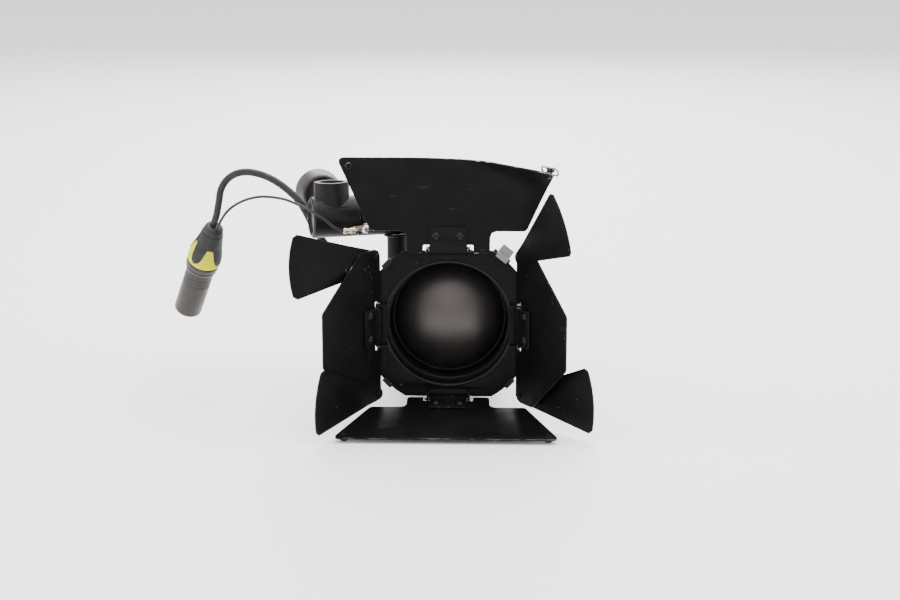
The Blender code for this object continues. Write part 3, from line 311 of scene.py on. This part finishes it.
def black_casting(name="black_casting", colour=(0.003, 0.003, 0.0034), roughness=0.42, grain=0.3):
    """Thick black enamel over a rough casting, with a fine pebbled grain."""
    skin = Surface(name, colour, roughness)
    skin.shader.inputs["Specular IOR Level"].default_value = 0.17
    skin.tint(skin.between(skin.noise(50, 4), 0.45, 0.8), (0.006, 0.006, 0.0066))
    skin.tint(skin.between(skin.cells(260), 0.06, 0.04), (0.05, 0.05, 0.05))
    patches = skin.noise(120, 4)
    skin.drive("Roughness", skin.between(patches, 0.3, 0.7, roughness - 0.06, roughness + 0.1))
    skin.bump(skin.noise(900, 3), grain, 0.12)
    skin.bump(skin.noise(140, 3), 0.3, 0.25)
    return skin.material


def casting_edge_wear_and_highlight():
    """Rounded casting edges, polished and chipped by handling, in a base colour a little lighter than the enamel
    as a painted highlight.
    """
    # Base colour a little lighter than the casting's: a painted highlight along the edges.
    skin = Surface("casting_edge_wear_and_highlight", (0.009, 0.009, 0.01), 0.36)
    skin.shader.inputs["Specular IOR Level"].default_value = 0.4
    chips = skin.between(skin.noise(260, 4), 0.6, 0.64)
    stretch = skin.between(skin.noise(40, 1), 0.52, 0.6)
    bright_metal_share = skin.product(chips, stretch)
    skin.tint(bright_metal_share, (0.5, 0.5, 0.49))
    skin.drive("Metallic", skin.between(bright_metal_share, 0, 1, 0, 0.8))
    skin.bump(skin.noise(700, 3), 0.25, 0.08)
    return skin.material


def steel(name, colour, roughness, brushing=(3.0, 40.0, 3.0), dull=(0.3, 0.3, 0.3)):
    """Bright metal with brushed grain, a little tarnish and fine scratches."""
    skin = Surface(name, colour, roughness, 1.0)
    grain = skin.noise(90, 4, skin.stretched(brushing))
    skin.tint(skin.between(skin.noise(260, 4), 0.5, 0.75), dull)
    skin.drive("Roughness", skin.between(grain, 0.3, 0.7, roughness - 0.07, roughness + 0.12))
    skin.bump(grain, 0.12, 0.03)
    return skin.material


def plastic(name, colour, light, roughness, grain=700, sheen=0.5):
    """Moulded plastic with a fine spark-eroded grain and slight unevenness of colour."""
    skin = Surface(name, colour, roughness)
    skin.shader.inputs["Specular IOR Level"].default_value = sheen
    skin.tint(skin.between(skin.noise(70, 4), 0.45, 0.8), light)
    patches = skin.noise(160, 4)
    skin.drive("Roughness", skin.between(patches, 0.3, 0.7, roughness - 0.06, roughness + 0.08))
    skin.bump(skin.noise(grain, 3), 0.2, 0.06)
    return skin.material


def rubber(name="rubber", colour=(0.0075, 0.0075, 0.0085), dust=(0.02, 0.02, 0.021)):
    """Matt black rubber, greyed by dust, with a drawn grain."""
    skin = Surface(name, colour, 0.52)
    skin.shader.inputs["Specular IOR Level"].default_value = 0.3
    skin.tint(skin.between(skin.noise(90, 5), 0.45, 0.8), dust)
    skin.drive("Roughness", skin.between(skin.noise(240, 4), 0.3, 0.7, 0.42, 0.62))
    skin.bump(skin.noise(1100, 3), 0.25, 0.05)
    skin.bump(skin.noise(60, 2), 0.2, 0.3)
    return skin.material


def lens_glass():
    """Dark lens: a near-black base colour, painted shade for the unlit inside behind the glass, under a softly
    pebbled skin.
    """
    # Near-black base colour with no transmission: painted shade standing in for the dark inside of the lamp.
    skin = Surface("lens_glass", (0.0045, 0.0042, 0.0044), 0.34)
    skin.shader.inputs["IOR"].default_value = 1.52
    skin.shader.inputs["Specular Tint"].default_value = (1.0, 0.83, 0.79, 1.0)
    skin.shader.inputs["Coat Weight"].default_value = 0.55
    skin.shader.inputs["Coat Roughness"].default_value = 0.42
    skin.tint(skin.between(skin.noise(30, 4), 0.45, 0.8), (0.009, 0.0076, 0.0076))
    skin.tint(skin.between(skin.cells(170), 0.045, 0.03), (0.1, 0.1, 0.1))
    skin.drive("Roughness", skin.between(skin.noise(60, 5), 0.3, 0.7, 0.36, 0.46))
    skin.bump(skin.noise(650, 3), 0.06, 0.05)
    return skin.material


def clear_glass():
    """Quartz glass of the lamp's bulb."""
    skin = Surface("lamp_glass", (0.9, 0.92, 0.93), 0.04)
    skin.shader.inputs["Transmission Weight"].default_value = 1.0
    skin.shader.inputs["IOR"].default_value = 1.46
    skin.drive("Roughness", skin.between(skin.noise(150, 4), 0.3, 0.7, 0.02, 0.1))
    skin.bump(skin.noise(90, 2), 0.1, 0.2)
    return skin.material


def ceramic():
    """Unglazed steatite with faint pores."""
    skin = Surface("ceramic", (0.74, 0.71, 0.64), 0.62)
    skin.tint(skin.between(skin.noise(300, 4), 0.5, 0.75), (0.6, 0.56, 0.48))
    skin.tint(skin.between(skin.cells(500), 0.12, 0.06), (0.4, 0.36, 0.3))
    skin.drive("Roughness", skin.between(skin.noise(200, 3), 0.3, 0.7, 0.55, 0.72))
    skin.bump(skin.noise(900, 3), 0.3, 0.1)
    return skin.material


FINISHES = {
    "black_paint": black_paint(),
    "black_casting": black_casting(),
    "bright_steel": steel("bright_steel", (0.3, 0.3, 0.3), 0.34, dull=(0.16, 0.16, 0.16)),
    "zinc": steel("zinc", (0.66, 0.68, 0.72), 0.24, dull=(0.42, 0.45, 0.52)),
    "brass": steel("tinned_brass", (0.72, 0.62, 0.44), 0.26, dull=(0.5, 0.4, 0.22)),
    "grey_plastic": plastic(
        "grey_plastic", (0.016, 0.0134, 0.012), (0.03, 0.0252, 0.0225), 0.44, sheen=0.3
    ),
    "light_grey": plastic("light_grey", (0.12, 0.12, 0.124), (0.17, 0.17, 0.17), 0.42),
    "aluminium": steel("aluminium", (0.66, 0.66, 0.66), 0.36, (40.0, 3.0, 3.0), (0.45, 0.45, 0.45)),
    "glass": lens_glass(),
    "ceramic": ceramic(),
    "rubber": rubber(),
    "yellow_plastic": plastic("yellow_plastic", (0.56, 0.54, 0.0), (0.5, 0.48, 0.0), 0.45, sheen=0.05),
    "dark_plastic": plastic("dark_plastic", (0.006, 0.006, 0.007), (0.012, 0.012, 0.013), 0.34),
    "satin_nickel": steel(
        "satin_nickel", (0.05, 0.046, 0.043), 0.4, (6.0, 6.0, 6.0), (0.042, 0.039, 0.036)
    ),
}
PAINT_EDGE = paint_edge_wear_and_highlight()
LEAF_EDGES = {
    # Top leaf: chips from wear, and a painted highlight as a band of bright metal at its right end.
    "top": paint_edge_wear_and_highlight("top_leaf_edge_wear_and_painted_highlight", ("X", LAMP.x + 0.052, LAMP.x + 0.055)),
    "bottom": paint_edge_wear_and_highlight("bottom_leaf_edge_wear_and_highlight", ("Y", -0.0905, -0.0925), 0.45, 0.55),
}
GLOSS_PAINT = black_paint("gloss_paint", 0.17, 0.24, 0.4)
CASTING_EDGE = casting_edge_wear_and_highlight()
LAMP_GLASS = clear_glass()
EDGES = {"black_paint": PAINT_EDGE, "black_casting": CASTING_EDGE}
SLOT_OF = {part["node"]: part["material_slot"] for part in frame["record"]["subparts"]}


# ---------------------------------------------------------------- mesh making


def mesh_of(bm):
    """Finish a bmesh as a mesh."""
    mesh = bpy.data.meshes.new("shape")
    bm.to_mesh(mesh)
    bm.free()
    return mesh


def applied(obj):
    """Mesh of a temporary object with its modifiers or its curve's bevel applied."""
    bpy.context.scene.collection.objects.link(obj)
    graph = bpy.context.evaluated_depsgraph_get()
    mesh = bpy.data.meshes.new_from_object(obj.evaluated_get(graph))
    bpy.data.objects.remove(obj, do_unlink=True)
    return mesh


def welded(mesh, distance=1e-6):
    """Merge the mesh's doubled points and turn its faces outward."""
    bm = bmesh.new()
    bm.from_mesh(mesh)
    bmesh.ops.remove_doubles(bm, verts=bm.verts, dist=distance)
    bmesh.ops.recalc_face_normals(bm, faces=bm.faces)
    bm.to_mesh(mesh)
    bm.free()
    return mesh


def bevelled(mesh, width, segments=2, angle=32, edge_slot=0):
    """Mesh with its sharp edges rounded; the rounded faces take a material slot of their own."""
    obj = bpy.data.objects.new("bevel", mesh)
    bevel = obj.modifiers.new("round", "BEVEL")
    bevel.width = width * MM
    bevel.segments = segments
    bevel.limit_method = "ANGLE"
    bevel.angle_limit = math.radians(angle)
    bevel.material = edge_slot
    return applied(obj)


def put(name, mesh, body, finish, place=Matrix(), replaces=(), sharp=32, edge=None):
    """Shown piece of the object, riding on a body."""
    piece = bpy.data.objects.new(name, mesh)
    slots = [face.material_index for face in mesh.polygons]
    mesh.materials.clear()
    mesh.materials.append(FINISHES[finish] if isinstance(finish, str) else finish)
    if edge:
        mesh.materials.append(edge)
        mesh.polygons.foreach_set("material_index", slots)
    mesh.shade_smooth()
    mesh.set_sharp_from_angle(angle=math.radians(sharp))
    bpy.context.scene.collection.objects.link(piece)
    piece.matrix_world = place
    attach(piece, body)
    if replaces:
        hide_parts(*replaces)
    return piece


def rounded_copy(node, width, segments=2, sharp=40):
    """Piece that stands for a CAD node: its own solid with every sharp edge rounded."""
    bm = bmesh.new()
    bm.from_mesh(NODES[node].data)
    bmesh.ops.remove_doubles(bm, verts=bm.verts, dist=2e-6)
    bmesh.ops.dissolve_limit(bm, angle_limit=math.radians(0.6), verts=bm.verts, edges=bm.edges)
    bmesh.ops.recalc_face_normals(bm, faces=bm.faces)
    finish = SLOT_OF[node]
    edge = EDGES.get(finish)
    mesh = mesh_of(bm)
    if edge:
        mesh.materials.clear()
        mesh.materials.append(FINISHES[finish])
        mesh.materials.append(edge)
    mesh = bevelled(mesh, width, segments, edge_slot=1 if edge else 0)
    return put(node + "_body", mesh, BODY_OF[node], finish, replaces=[node], sharp=sharp, edge=edge)


def lathe(profile, steps=96):
    """Turned mesh about Z from (radius, height) points in millimetres."""
    bm = bmesh.new()
    points = [bm.verts.new((radius * MM, 0.0, height * MM)) for radius, height in profile]
    pairs = list(zip(points, points[1:]))
    if min(radius for radius, _ in profile) > 0:
        pairs.append((points[-1], points[0]))
    edges = [bm.edges.new(pair) for pair in pairs]
    bmesh.ops.spin(
        bm,
        geom=points + edges,
        axis=(0, 0, 1),
        cent=(0, 0, 0),
        dvec=(0, 0, 0),
        angle=2 * math.pi,
        steps=steps,
        use_merge=False,
    )
    bmesh.ops.remove_doubles(bm, verts=bm.verts, dist=1e-7)
    bmesh.ops.recalc_face_normals(bm, faces=bm.faces)
    return mesh_of(bm)


def arc(centre, radius, start, end, count):
    """Points along an arc, angles in degrees."""
    angles = [math.radians(start + (end - start) * i / count) for i in range(count + 1)]
    return [(centre[0] + radius * math.cos(a), centre[1] + radius * math.sin(a)) for a in angles]


def plate(outlines, thickness):
    """Flat mesh in XY, centred on Z = 0, from closed outlines; the later ones are holes."""
    curve = bpy.data.curves.new("outline", "CURVE")
    curve.dimensions = "2D"
    curve.fill_mode = "BOTH"
    curve.extrude = thickness / 2 * MM
    for outline in outlines:
        spline = curve.splines.new("POLY")
        spline.points.add(len(outline) - 1)
        for point, (x, y) in zip(spline.points, outline):
            point.co = (x * MM, y * MM, 0, 1)
        spline.use_cyclic_u = True
    return welded(applied(bpy.data.objects.new("sheet", curve)))


def cut(mesh, *cutters, operation="DIFFERENCE"):
    """Mesh after a Boolean with each of the cutters, given as (mesh, placement)."""
    obj = bpy.data.objects.new("cut", mesh)
    helpers = []
    for cutter, place in cutters:
        helper = bpy.data.objects.new("cutter", cutter)
        bpy.context.scene.collection.objects.link(helper)
        helper.matrix_world = place
        helpers.append(helper)
        boolean = obj.modifiers.new("cut", "BOOLEAN")
        boolean.operation = operation
        boolean.object = helper
        boolean.solver = "EXACT"
    bpy.context.view_layer.update()
    result = applied(obj)
    for helper in helpers:
        bpy.data.objects.remove(helper, do_unlink=True)
    return result


def smooth_route(points, steps):
    """Points read from a smooth curve through the route's own points, in millimetres."""
    nodes = [Vector(point) for point in points]
    nodes = [2 * nodes[0] - nodes[1], *nodes, 2 * nodes[-1] - nodes[-2]]
    route = []
    for p0, p1, p2, p3 in zip(nodes, nodes[1:], nodes[2:], nodes[3:]):
        for step in range(steps):
            t = step / steps
            bend = (2 * p0 - 5 * p1 + 4 * p2 - p3) * t * t + (3 * p1 - p0 - 3 * p2 + p3) * t**3
            route.append(p1 + ((p2 - p0) * t + bend) / 2)
    return route + [nodes[-2]]


# ---------------------------------------------------------------- cords


def cord_curve(name, route, diameter, steps):
    """Round curve object along a smooth line through the route, in the lamp's frame."""
    curve = bpy.data.curves.new(name, "CURVE")
    curve.dimensions = "3D"
    curve.bevel_depth = diameter / 2 * MM
    curve.bevel_resolution = 7
    curve.use_fill_caps = True
    points = smooth_route(route, steps)
    spline = curve.splines.new("POLY")
    spline.points.add(len(points) - 1)
    for point, place in zip(spline.points, points):
        point.co = (*(LAMP + place * MM), 1)
    spline.use_smooth = True
    curve.materials.append(FINISHES["rubber"])
    piece = bpy.data.objects.new(name, curve)
    bpy.context.scene.collection.objects.link(piece)
    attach(piece, "head")
    return piece


def make_cords():
    """Both free cords, at the length that lies between their ends."""
    cable = cord_curve("main_cable_sheath", CABLE_ROUTE, CABLE_DIAMETER, 8)
    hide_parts("main_cable")
    wire = cord_curve("earth_wire_sheath", WIRE_ROUTE, WIRE_DIAMETER, 8)
    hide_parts("earth_wire")
    connector = make_connector()
    make_terminal()


def boot_prong(radius, start, end, width, facing):
    """Tongue of the boot that lies on the yellow ring: a curved strip with a round tip."""
    bm = bmesh.new()
    rows = 14
    columns = 8
    grid = []
    for row in range(rows + 1):
        along = row / rows
        height = start + (end - start) * along
        # The tongue narrows, then closes in a half circle.
        share = (1 - 0.35 * along) * math.sqrt(max(0.0, 1 - max(0.0, (along - 0.72) / 0.28) ** 2))
        reach = radius(height)
        line = []
        for column in range(columns + 1):
            side = (column / columns * 2 - 1) * share * width
            angle = facing + side / reach
            spot = (reach * math.cos(angle) * MM, reach * math.sin(angle) * MM, height * MM)
            line.append(bm.verts.new(spot))
        grid.append(line)
    for first, second in zip(grid, grid[1:]):
        for a, b, c, d in zip(first, first[1:], second[1:], second):
            bm.faces.new((a, b, c, d))
    bmesh.ops.remove_doubles(bm, verts=bm.verts, dist=1e-6)
    bmesh.ops.recalc_face_normals(bm, faces=bm.faces)
    obj = bpy.data.objects.new("prong", mesh_of(bm))
    shell = obj.modifiers.new("thick", "SOLIDIFY")
    shell.thickness = 1.5 * MM
    shell.offset = 0
    return bevelled(applied(obj), 0.5, 3, angle=50)


def tongue_radius(height):
    """Radius of the connector's skin at a height, where a tongue of the boot lies."""
    if height < RING_START:
        return 6.5 + (8.6 - 6.5) * (height - TONGUE_START) / (RING_START - TONGUE_START)
    return 8.6 + (11.3 - 8.6) * min(1.0, (height - RING_START) / 10.2) ** 0.85


def make_boot(place):
    """Rubber boot and the coding ring, with the boot's four tongues on the ring."""
    boot = [
        (0, 21.5), (9.0, 21.5), (8.6, 18.5), (7.9, 13), (7.1, 7), (6.7, 3.0), (6.2, 1.0),
        (5.4, 0.1), (0, 0.1),
    ]
    pieces = [put("boot", lathe(boot), "head", "rubber", place, ["plug_boot"], sharp=50)]
    ring = [
        (0, 31.0), (10.9, 31.0), (11.3, 30.6), (11.5, 29.8), (11.5, 27.0), (11.3, 25.0),
        (10.8, 22.6), (10.0, 20.0), (9.0, 17.0), (8.5, RING_START), (0, RING_START),
    ]
    pieces.append(put("coding_ring", lathe(ring), "head", "yellow_plastic", place, ["plug_ring"]))
    for index in range(4):
        facing = math.radians(155 + 90 * index)
        tongue = boot_prong(tongue_radius, TONGUE_START, 28.2, 5.6, facing)
        pieces.append(put(f"boot_tongue_{index + 1}", tongue, "head", "rubber", place, sharp=60))
    return pieces


def make_insert(place):
    """Insert inside the connector's shell, with three contacts and a keyway."""
    hollows = []
    contacts = []
    for angle in (90, 210, 330):
        spot = turn(angle, "Z") @ shift(4.6, 0, 0)
        hollows.append((lathe([(0, 82), (1.7, 82), (1.7, 60), (0, 60)], 24), spot))
        pin = [(0, 74.4), (0.7, 74.2), (1.15, 73.4), (1.15, 60.4), (0, 60.4)]
        contacts.append((lathe(pin, 24), spot))
    key = plate([[(-1.6, -2.4), (1.6, -2.4), (1.6, 2.4), (-1.6, 2.4)]], 8)
    hollows.append((key, shift(-7.6, 0, 77)))
    body = lathe([(0, 76.8), (7.3, 76.8), (7.8, 76.2), (7.8, 39.2), (0, 39.2)], 64)
    insert = bevelled(cut(body, *hollows), 0.2)
    pieces = [put("insert", insert, "head", "dark_plastic", place, ["plug_insert"])]
    for index, (pin, spot) in enumerate(contacts):
        pieces.append(put(f"contact_{index + 1}", pin, "head", "brass", place @ spot))
    return pieces


def make_connector():
    """Round cable connector: boot with tongues, coding ring, collar, shell, insert and contacts."""
    place = plug()
    pieces = make_boot(place)
    collar = [
        (0, 38.9), (9.9, 38.9), (10.5, 38.2), (10.7, 37.4), (10.7, 36.6), (10.3, 36.2),
        (10.3, 35.6), (11.0, 35.2), (11.2, 34.4), (11.2, 32.4), (10.9, 31.6), (10.4, 31.2),
        (0, 31.2),
    ]
    pieces.append(put("collar", lathe(collar), "head", "dark_plastic", place, ["plug_collar"]))
    shell = [
        (9.0, 78.0), (9.35, 77.6), (9.5, 76.9), (9.5, 50.3), (9.3, 50.1), (9.3, 49.6), (9.5, 49.4),
        (9.5, 47.3), (9.3, 47.1), (9.3, 46.6), (9.5, 46.4), (9.5, 44.4), (9.3, 44.2), (9.3, 43.7),
        (9.5, 43.5), (9.55, 39.2), (8.2, 39.2), (8.2, 77.6), (8.5, 78.0),
    ]
    tube = lathe(shell, FINE)
    pieces.append(put("shell", tube, "head", "satin_nickel", place, ["plug_shell"], sharp=40))
    return pieces + make_insert(place)


def cross_screw(head, height, shank, length):
    """Pan-head screw about Z with a cross recess; its seat is at height 0."""
    dome = [
        (0, height), (head * 0.45, height * 0.96), (head * 0.8, height * 0.78),
        (head * 0.97, height * 0.4),
        (head, 0.05), (head, 0), (shank, 0), (shank, -length), (0, -length),
    ]
    blank = lathe(dome, 64)
    slots = []
    reach = head * 0.52
    for angle in (0, 90):
        blade = plate([[(-reach, -0.32), (reach, -0.32), (reach, 0.32), (-reach, 0.32)]], 1.3)
        slots.append((blade, turn(angle, "Z") @ shift(z=height)))
    return bevelled(cut(blank, *slots), 0.07, 2, angle=30)


def terminal_frame():
    """Where the ring terminal sits on the barrel: Z straight out of it, X along it."""
    out = mount() @ shift(x=TERMINAL_T) @ turn(90 + TERMINAL_DIP, "X")
    return out @ shift(z=MOUNT_RADIUS)


def make_terminal():
    """Ring terminal with a crimped barrel."""
    place = terminal_frame()
    ring = arc((0, 0), 4.0, -150, 150, 60) + [(-9.0, 1.6), (-9.0, -1.6)]
    tongue = bevelled(plate([ring, arc((0, 0), 1.9, 0, 360, 40)[:-1]], 0.8), 0.2, 3)
    pieces = [put("terminal_ring", tongue, "head", "brass", place @ shift(z=0.9), ["ring_terminal"])]
    crimp = [
        (0.95, 15.6), (1.7, 15.6), (2.05, 15.2), (2.05, 13.6), (1.65, 13.0), (1.65, 11.4),
        (2.05, 10.8), (2.05, 9.4), (1.8, 8.8), (1.8, 7.6), (0.95, 7.6),
    ]
    lying = place @ shift(z=2.6) @ turn(-90, "Y")
    pieces.append(put("terminal_crimp", lathe(crimp, 48), "head", "brass", lying))
    return pieces


# ---------------------------------------------------------------- barn door


def wave_ring(radius, stud, wire, wave):
    """Wavy spring washer of round wire about Z, its two ends turned in to grip a stud."""
    curve = bpy.data.curves.new("wave", "CURVE")
    curve.dimensions = "3D"
    curve.bevel_depth = wire * MM
    curve.bevel_resolution = 4
    curve.use_fill_caps = True
    count = 90
    line = [(math.radians(12 + 336 * index / count), radius) for index in range(count + 1)]
    line = [(math.radians(20), stud), (math.radians(13), radius - 0.6), *line]
    line += [(math.radians(347), radius - 0.6), (math.radians(340), stud)]
    spline = curve.splines.new("POLY")
    spline.points.add(len(line) - 1)
    for point, (angle, reach) in zip(spline.points, line):
        height = wave * math.sin(3 * angle)
        point.co = (reach * math.cos(angle) * MM, reach * math.sin(angle) * MM, height * MM, 1)
    return applied(bpy.data.objects.new("wave", curve))


def make_barn_door():
    """Plate, leaves, wings and hinges, with the lip, the rivets and the corner's stud and washer."""
    rounded_copy("barndoor_plate", 0.3, 2)
    lip = [
        (41.75, -0.05), (41.6, -0.35), (41.2, -0.5), (40.4, -0.5), (40.0, -0.3), (39.85, 0.1),
        (39.85, 5.3), (40.1, 5.6), (41.5, 5.6), (41.75, 5.2),
    ]
    axis = lamp() @ Z_TO_BACK
    put("plate_lip", lathe(lip, 160), "door", GLOSS_PAINT, axis, sharp=60)
    for side in SIDE_TURN:
        body = "leaf_" + side
        leaf = rounded_copy("leaf_" + side, 0.42, 3)
        leaf.data.materials[1] = LEAF_EDGES.get(side, PAINT_EDGE)
        rounded_copy("hinge_clip_" + side, 0.22, 2)
        rounded_copy("hinge_pin_" + side, 0.15, 2)
        for index, end in enumerate((-1, 1)):
            spot = hinge(side) @ shift(end * RIVET_SPACING / 2, RIVET_S)
            name = f"clip_rivet_{side}_{index + 1}"
            head = lathe(CLIP_RIVET_HEAD, 48)
            put(name, head, body, GLOSS_PAINT, spot, sharp=60)
    corner = hinge("top") @ shift(*CORNER_STUD) @ turn(CORNER_FACING, "Z") @ turn(CORNER_TILT, "Y")
    coil = wave_ring(5.6, 2.0, 0.62, 0.5)
    put("corner_spring_washer", coil, "leaf_top", "bright_steel", corner @ shift(z=-3.2), sharp=60)
    stud = [
        (0, 1.7), (1.6, 1.6), (2.3, 1.1), (2.4, 0.45), (1.2, 0.4), (1.2, -0.4), (2.0, -0.45),
        (2.1, -3.7), (2.8, -3.8), (2.8, -4.3), (0, -4.5),
    ]
    put("corner_stud", lathe(stud, 48), "leaf_top", GLOSS_PAINT, corner, sharp=50)
    for name in ("upper_left", "lower_left", "upper_right", "lower_right"):
        rounded_copy("wing_" + name, 0.28, 3)
        rivet = rounded_copy("wing_rivet_" + name, 0.2, 3, sharp=60)
        for index in range(len(rivet.data.materials)):
            rivet.data.materials[index] = FINISHES["black_paint"]


# ---------------------------------------------------------------- head


def make_optics():
    """Lens, its retaining ring and the barrel round them."""
    curve = (LENS_RADIUS**2 + LENS_RISE**2) / (2 * LENS_RISE)
    half = math.degrees(math.asin(LENS_RADIUS / curve))
    top = LENS_RIM - LENS_RISE
    dome = [(r, -h + top + curve) for r, h in arc((0, 0), curve, 90 - half, 90, 28)]
    profile = [(0, 28.6), (LENS_RADIUS - 0.5, 28.6), (LENS_RADIUS, 28.1), *dome[:-1], (0, top)]
    axis = lamp() @ Z_TO_BACK
    put("lens_dome", lathe(profile, FINE), "head", "glass", axis, ["lens"], sharp=50)
    ring = [
        (37.7, 24.6), (37.7, 21.8), (37.4, 21.5), (35.9, 21.5), (35.4, 21.7), (35.2, 22.1),
        (35.3, 22.3), (37.2, 24.5),
    ]
    put("lens_ring", lathe(ring, FINE), "head", "black_paint", axis, ["lens_retainer"], sharp=60)
    barrel = [
        (40.2, 41.9), (40.2, 37.0), (39.5, 36.6), (39.5, 35.4), (40.2, 35.0), (40.2, 31.0),
        (39.5, 30.6), (39.5, 29.4), (40.2, 29.0), (40.2, 25.0), (39.5, 24.6), (39.5, 23.4),
        (40.2, 23.0), (40.2, 19.0), (39.5, 18.6), (39.5, 17.4), (40.2, 17.0), (40.2, 11.4),
        (44.2, 11.3), (44.6, 10.9), (44.6, 9.6), (44.3, 9.3), (38.4, 9.3), (38.0, 9.7),
        (38.0, 29.0), (35.4, 29.0), (35.4, 40.0), (17.0, 40.0), (17.0, 42.0), (39.9, 42.0),
    ]
    put("barrel", lathe(barrel, FINE), "head", "black_casting", axis, ["lens_barrel"], sharp=40)
    rounded_copy("accessory_holder", 0.35, 3)
    rounded_copy("latch_lever", 0.3, 3)
    rounded_copy("latch_pin", 0.15, 2)


def make_housing():
    """Lamp house, hood, cover and everything inside them."""
    rounded_copy("lamp_house", 0.8, 3)
    rounded_copy("vent_hood", 0.6, 3)
    rounded_copy("back_cover", 0.9, 3)
    for node in (
        "guide_rod_left",
        "guide_rod_right",
        "lamp_carriage",
        "lamp_socket",
        "focus_screw",
        "cable_gland",
    ):
        rounded_copy(node, 0.3, 2)
    rounded_copy("reflector", 0.2, 2)
    bulb = rounded_copy("halogen_lamp", 0.2, 2)
    bulb.data.materials[0] = LAMP_GLASS
    for side, x in (("left", -29.0), ("right", 29.0)):
        place = lamp(x, 115.6, -12) @ Z_TO_BACK
        screw = cross_screw(2.9, 1.9, 1.3, 2.6)
        put("cover_screw_head_" + side, screw, "head", "zinc", place, ["cover_screw_" + side])
    knob = fluted(11.0, 9.6, 0, 12.0, 18, 0.8)
    axis = lamp(0, 116.2, -34) @ Z_TO_BACK
    put("focus_grip", knob, "focus", "dark_plastic", axis, ["focus_knob"], sharp=40)


def fluted(radius, cap, low, high, flutes, depth):
    """Knob body about Z with scalloped sides and a dished, rounded cap."""
    bm = bmesh.new()
    count = flutes * 8
    levels = [
        (low, radius - 1.2, 0.0),
        (low + 0.5, radius - 0.3, 0.6),
        (low + 1.2, radius, 1.0),
        (high - 2.2, radius, 1.0),
        (high - 1.0, radius - 0.35, 0.8),
        (high - 0.3, radius - 1.1, 0.3),
        (high, radius - 2.0, 0.0),
        (high - 0.5, cap - 2.2, 0.0),
    ]
    rings = []
    for height, reach, share in levels:
        ring = []
        for index in range(count):
            angle = 2 * math.pi * index / count
            scallop = depth * share * (0.5 + 0.5 * math.cos(angle * flutes)) ** 2
            r = (reach - scallop) * MM
            ring.append(bm.verts.new((r * math.cos(angle), r * math.sin(angle), height * MM)))
        rings.append(ring)
    for first, second in zip(rings, rings[1:]):
        for a, b, c, d in zip(first, first[1:] + first[:1], second[1:] + second[:1], second):
            bm.faces.new((a, b, c, d))
    bm.faces.new(rings[0][::-1])
    bm.faces.new(rings[-1])
    bmesh.ops.recalc_face_normals(bm, faces=bm.faces)
    return mesh_of(bm)


# ---------------------------------------------------------------- stand mount


def make_mount():
    """Foot, post, tilt block, stand socket and lock knob."""
    rounded_copy("mount_foot", 0.5, 3)
    rounded_copy("post_washer", 0.25, 2)
    rounded_copy("friction_washer", 0.2, 2)
    rounded_copy("tilt_bolt", 0.2, 2)
    rounded_copy("tilt_block", 0.7, 3)
    place = terminal_frame()
    screw = cross_screw(3.1, 2.2, 1.4, 6.0)
    put("terminal_screw_head", screw, "head", "zinc", place @ shift(z=1.65), ["terminal_screw"])
    for end, y in (("front", 49), ("back", 60)):
        foot_screw = cross_screw(2.8, 2.0, 1.1, 6.0)
        spot = lamp(-19, y, 24.65)
        put("mount_screw_head_" + end, foot_screw, "head", "zinc", spot, ["mount_screw_" + end])
    rounded_copy("stand_socket", 0.7, 3)
    grip = [
        (0, 50.4), (11.8, 50.4), (12.6, 51.0), (14.3, 50.9), (15.2, 50.2), (15.5, 49.2),
        (15.5, 48.0), (15.1, 44.0), (14.1, 38.5), (13.2, 34.0), (12.9, 33.0), (12.3, 32.3),
        (11.4, 32.0), (10.6, 32.3), (9.9, 33.2), (8.2, 33.4), (7.4, 32.8), (6.9, 31.2),
        (6.1, 17.0), (5.6, 16.0), (4.0, 15.7), (4.0, 9.4), (3.0, 8.6), (0, 8.6),
    ]
    axis = socket() @ shift(SOCKET_T, 0, LOCK_HEIGHT) @ Z_TO_BACK
    put("lock_grip", lathe(grip, 96), "lock", "grey_plastic", axis, ["lock_knob"], sharp=40)


# ---------------------------------------------------------------- stage


def make_stage():
    """Pale floor, soft lights and the camera."""
    bpy.ops.mesh.primitive_plane_add(size=8, location=(0, 0, -0.0004))
    floor = bpy.context.object
    floor.name = "floor"
    pale = Surface("floor_white", (0.86, 0.86, 0.86), 0.6)
    floor.data.materials.append(pale.material)
    world = bpy.context.scene.world or bpy.data.worlds.new("studio")
    bpy.context.scene.world = world
    world.use_nodes = True
    world.node_tree.nodes["Background"].inputs["Color"].default_value = (1, 1, 1, 1)
    world.node_tree.nodes["Background"].inputs["Strength"].default_value = 1.6
    lights = [
        ("front", (-0.04, -1.95, 1.35), 2.0, 12.0),
        ("top", (0.1, 0.15, 1.5), 1.8, 42.0),
        ("fill_left", (-1.3, -0.2, 0.7), 0.9, 10.0),
        ("fill_right", (1.3, -0.2, 0.8), 0.9, 10.0),
        ("back", (0.0, 1.4, 1.0), 1.4, 34.0),
    ]
    for name, place, size, power in lights:
        lamp_data = bpy.data.lights.new(name, "AREA")
        lamp_data.shape = "DISK"
        lamp_data.size = size
        lamp_data.energy = power
        light = bpy.data.objects.new(name, lamp_data)
        bpy.context.scene.collection.objects.link(light)
        light.location = place
        aim = Vector((0, 0, 0.07)) - Vector(place)
        light.rotation_euler = aim.to_track_quat("-Z", "Y").to_euler()
    camera = bpy.data.objects.new("camera", bpy.data.cameras.new("camera"))
    bpy.context.scene.collection.objects.link(camera)
    camera.data.lens = VIEW_LENS
    camera.data.sensor_width = 36.0
    camera.location = LAMP + VIEW_FROM * MM
    level = math.cos(VIEW_RISE)
    back = Vector((math.sin(VIEW_TURN) * level, -math.cos(VIEW_TURN) * level, math.sin(VIEW_RISE)))
    camera.rotation_euler = (-back).to_track_quat("-Z", "Y").to_euler()
    bpy.context.scene.camera = camera


make_stage()
make_cords()
make_barn_door()
make_optics()
make_housing()
make_mount()
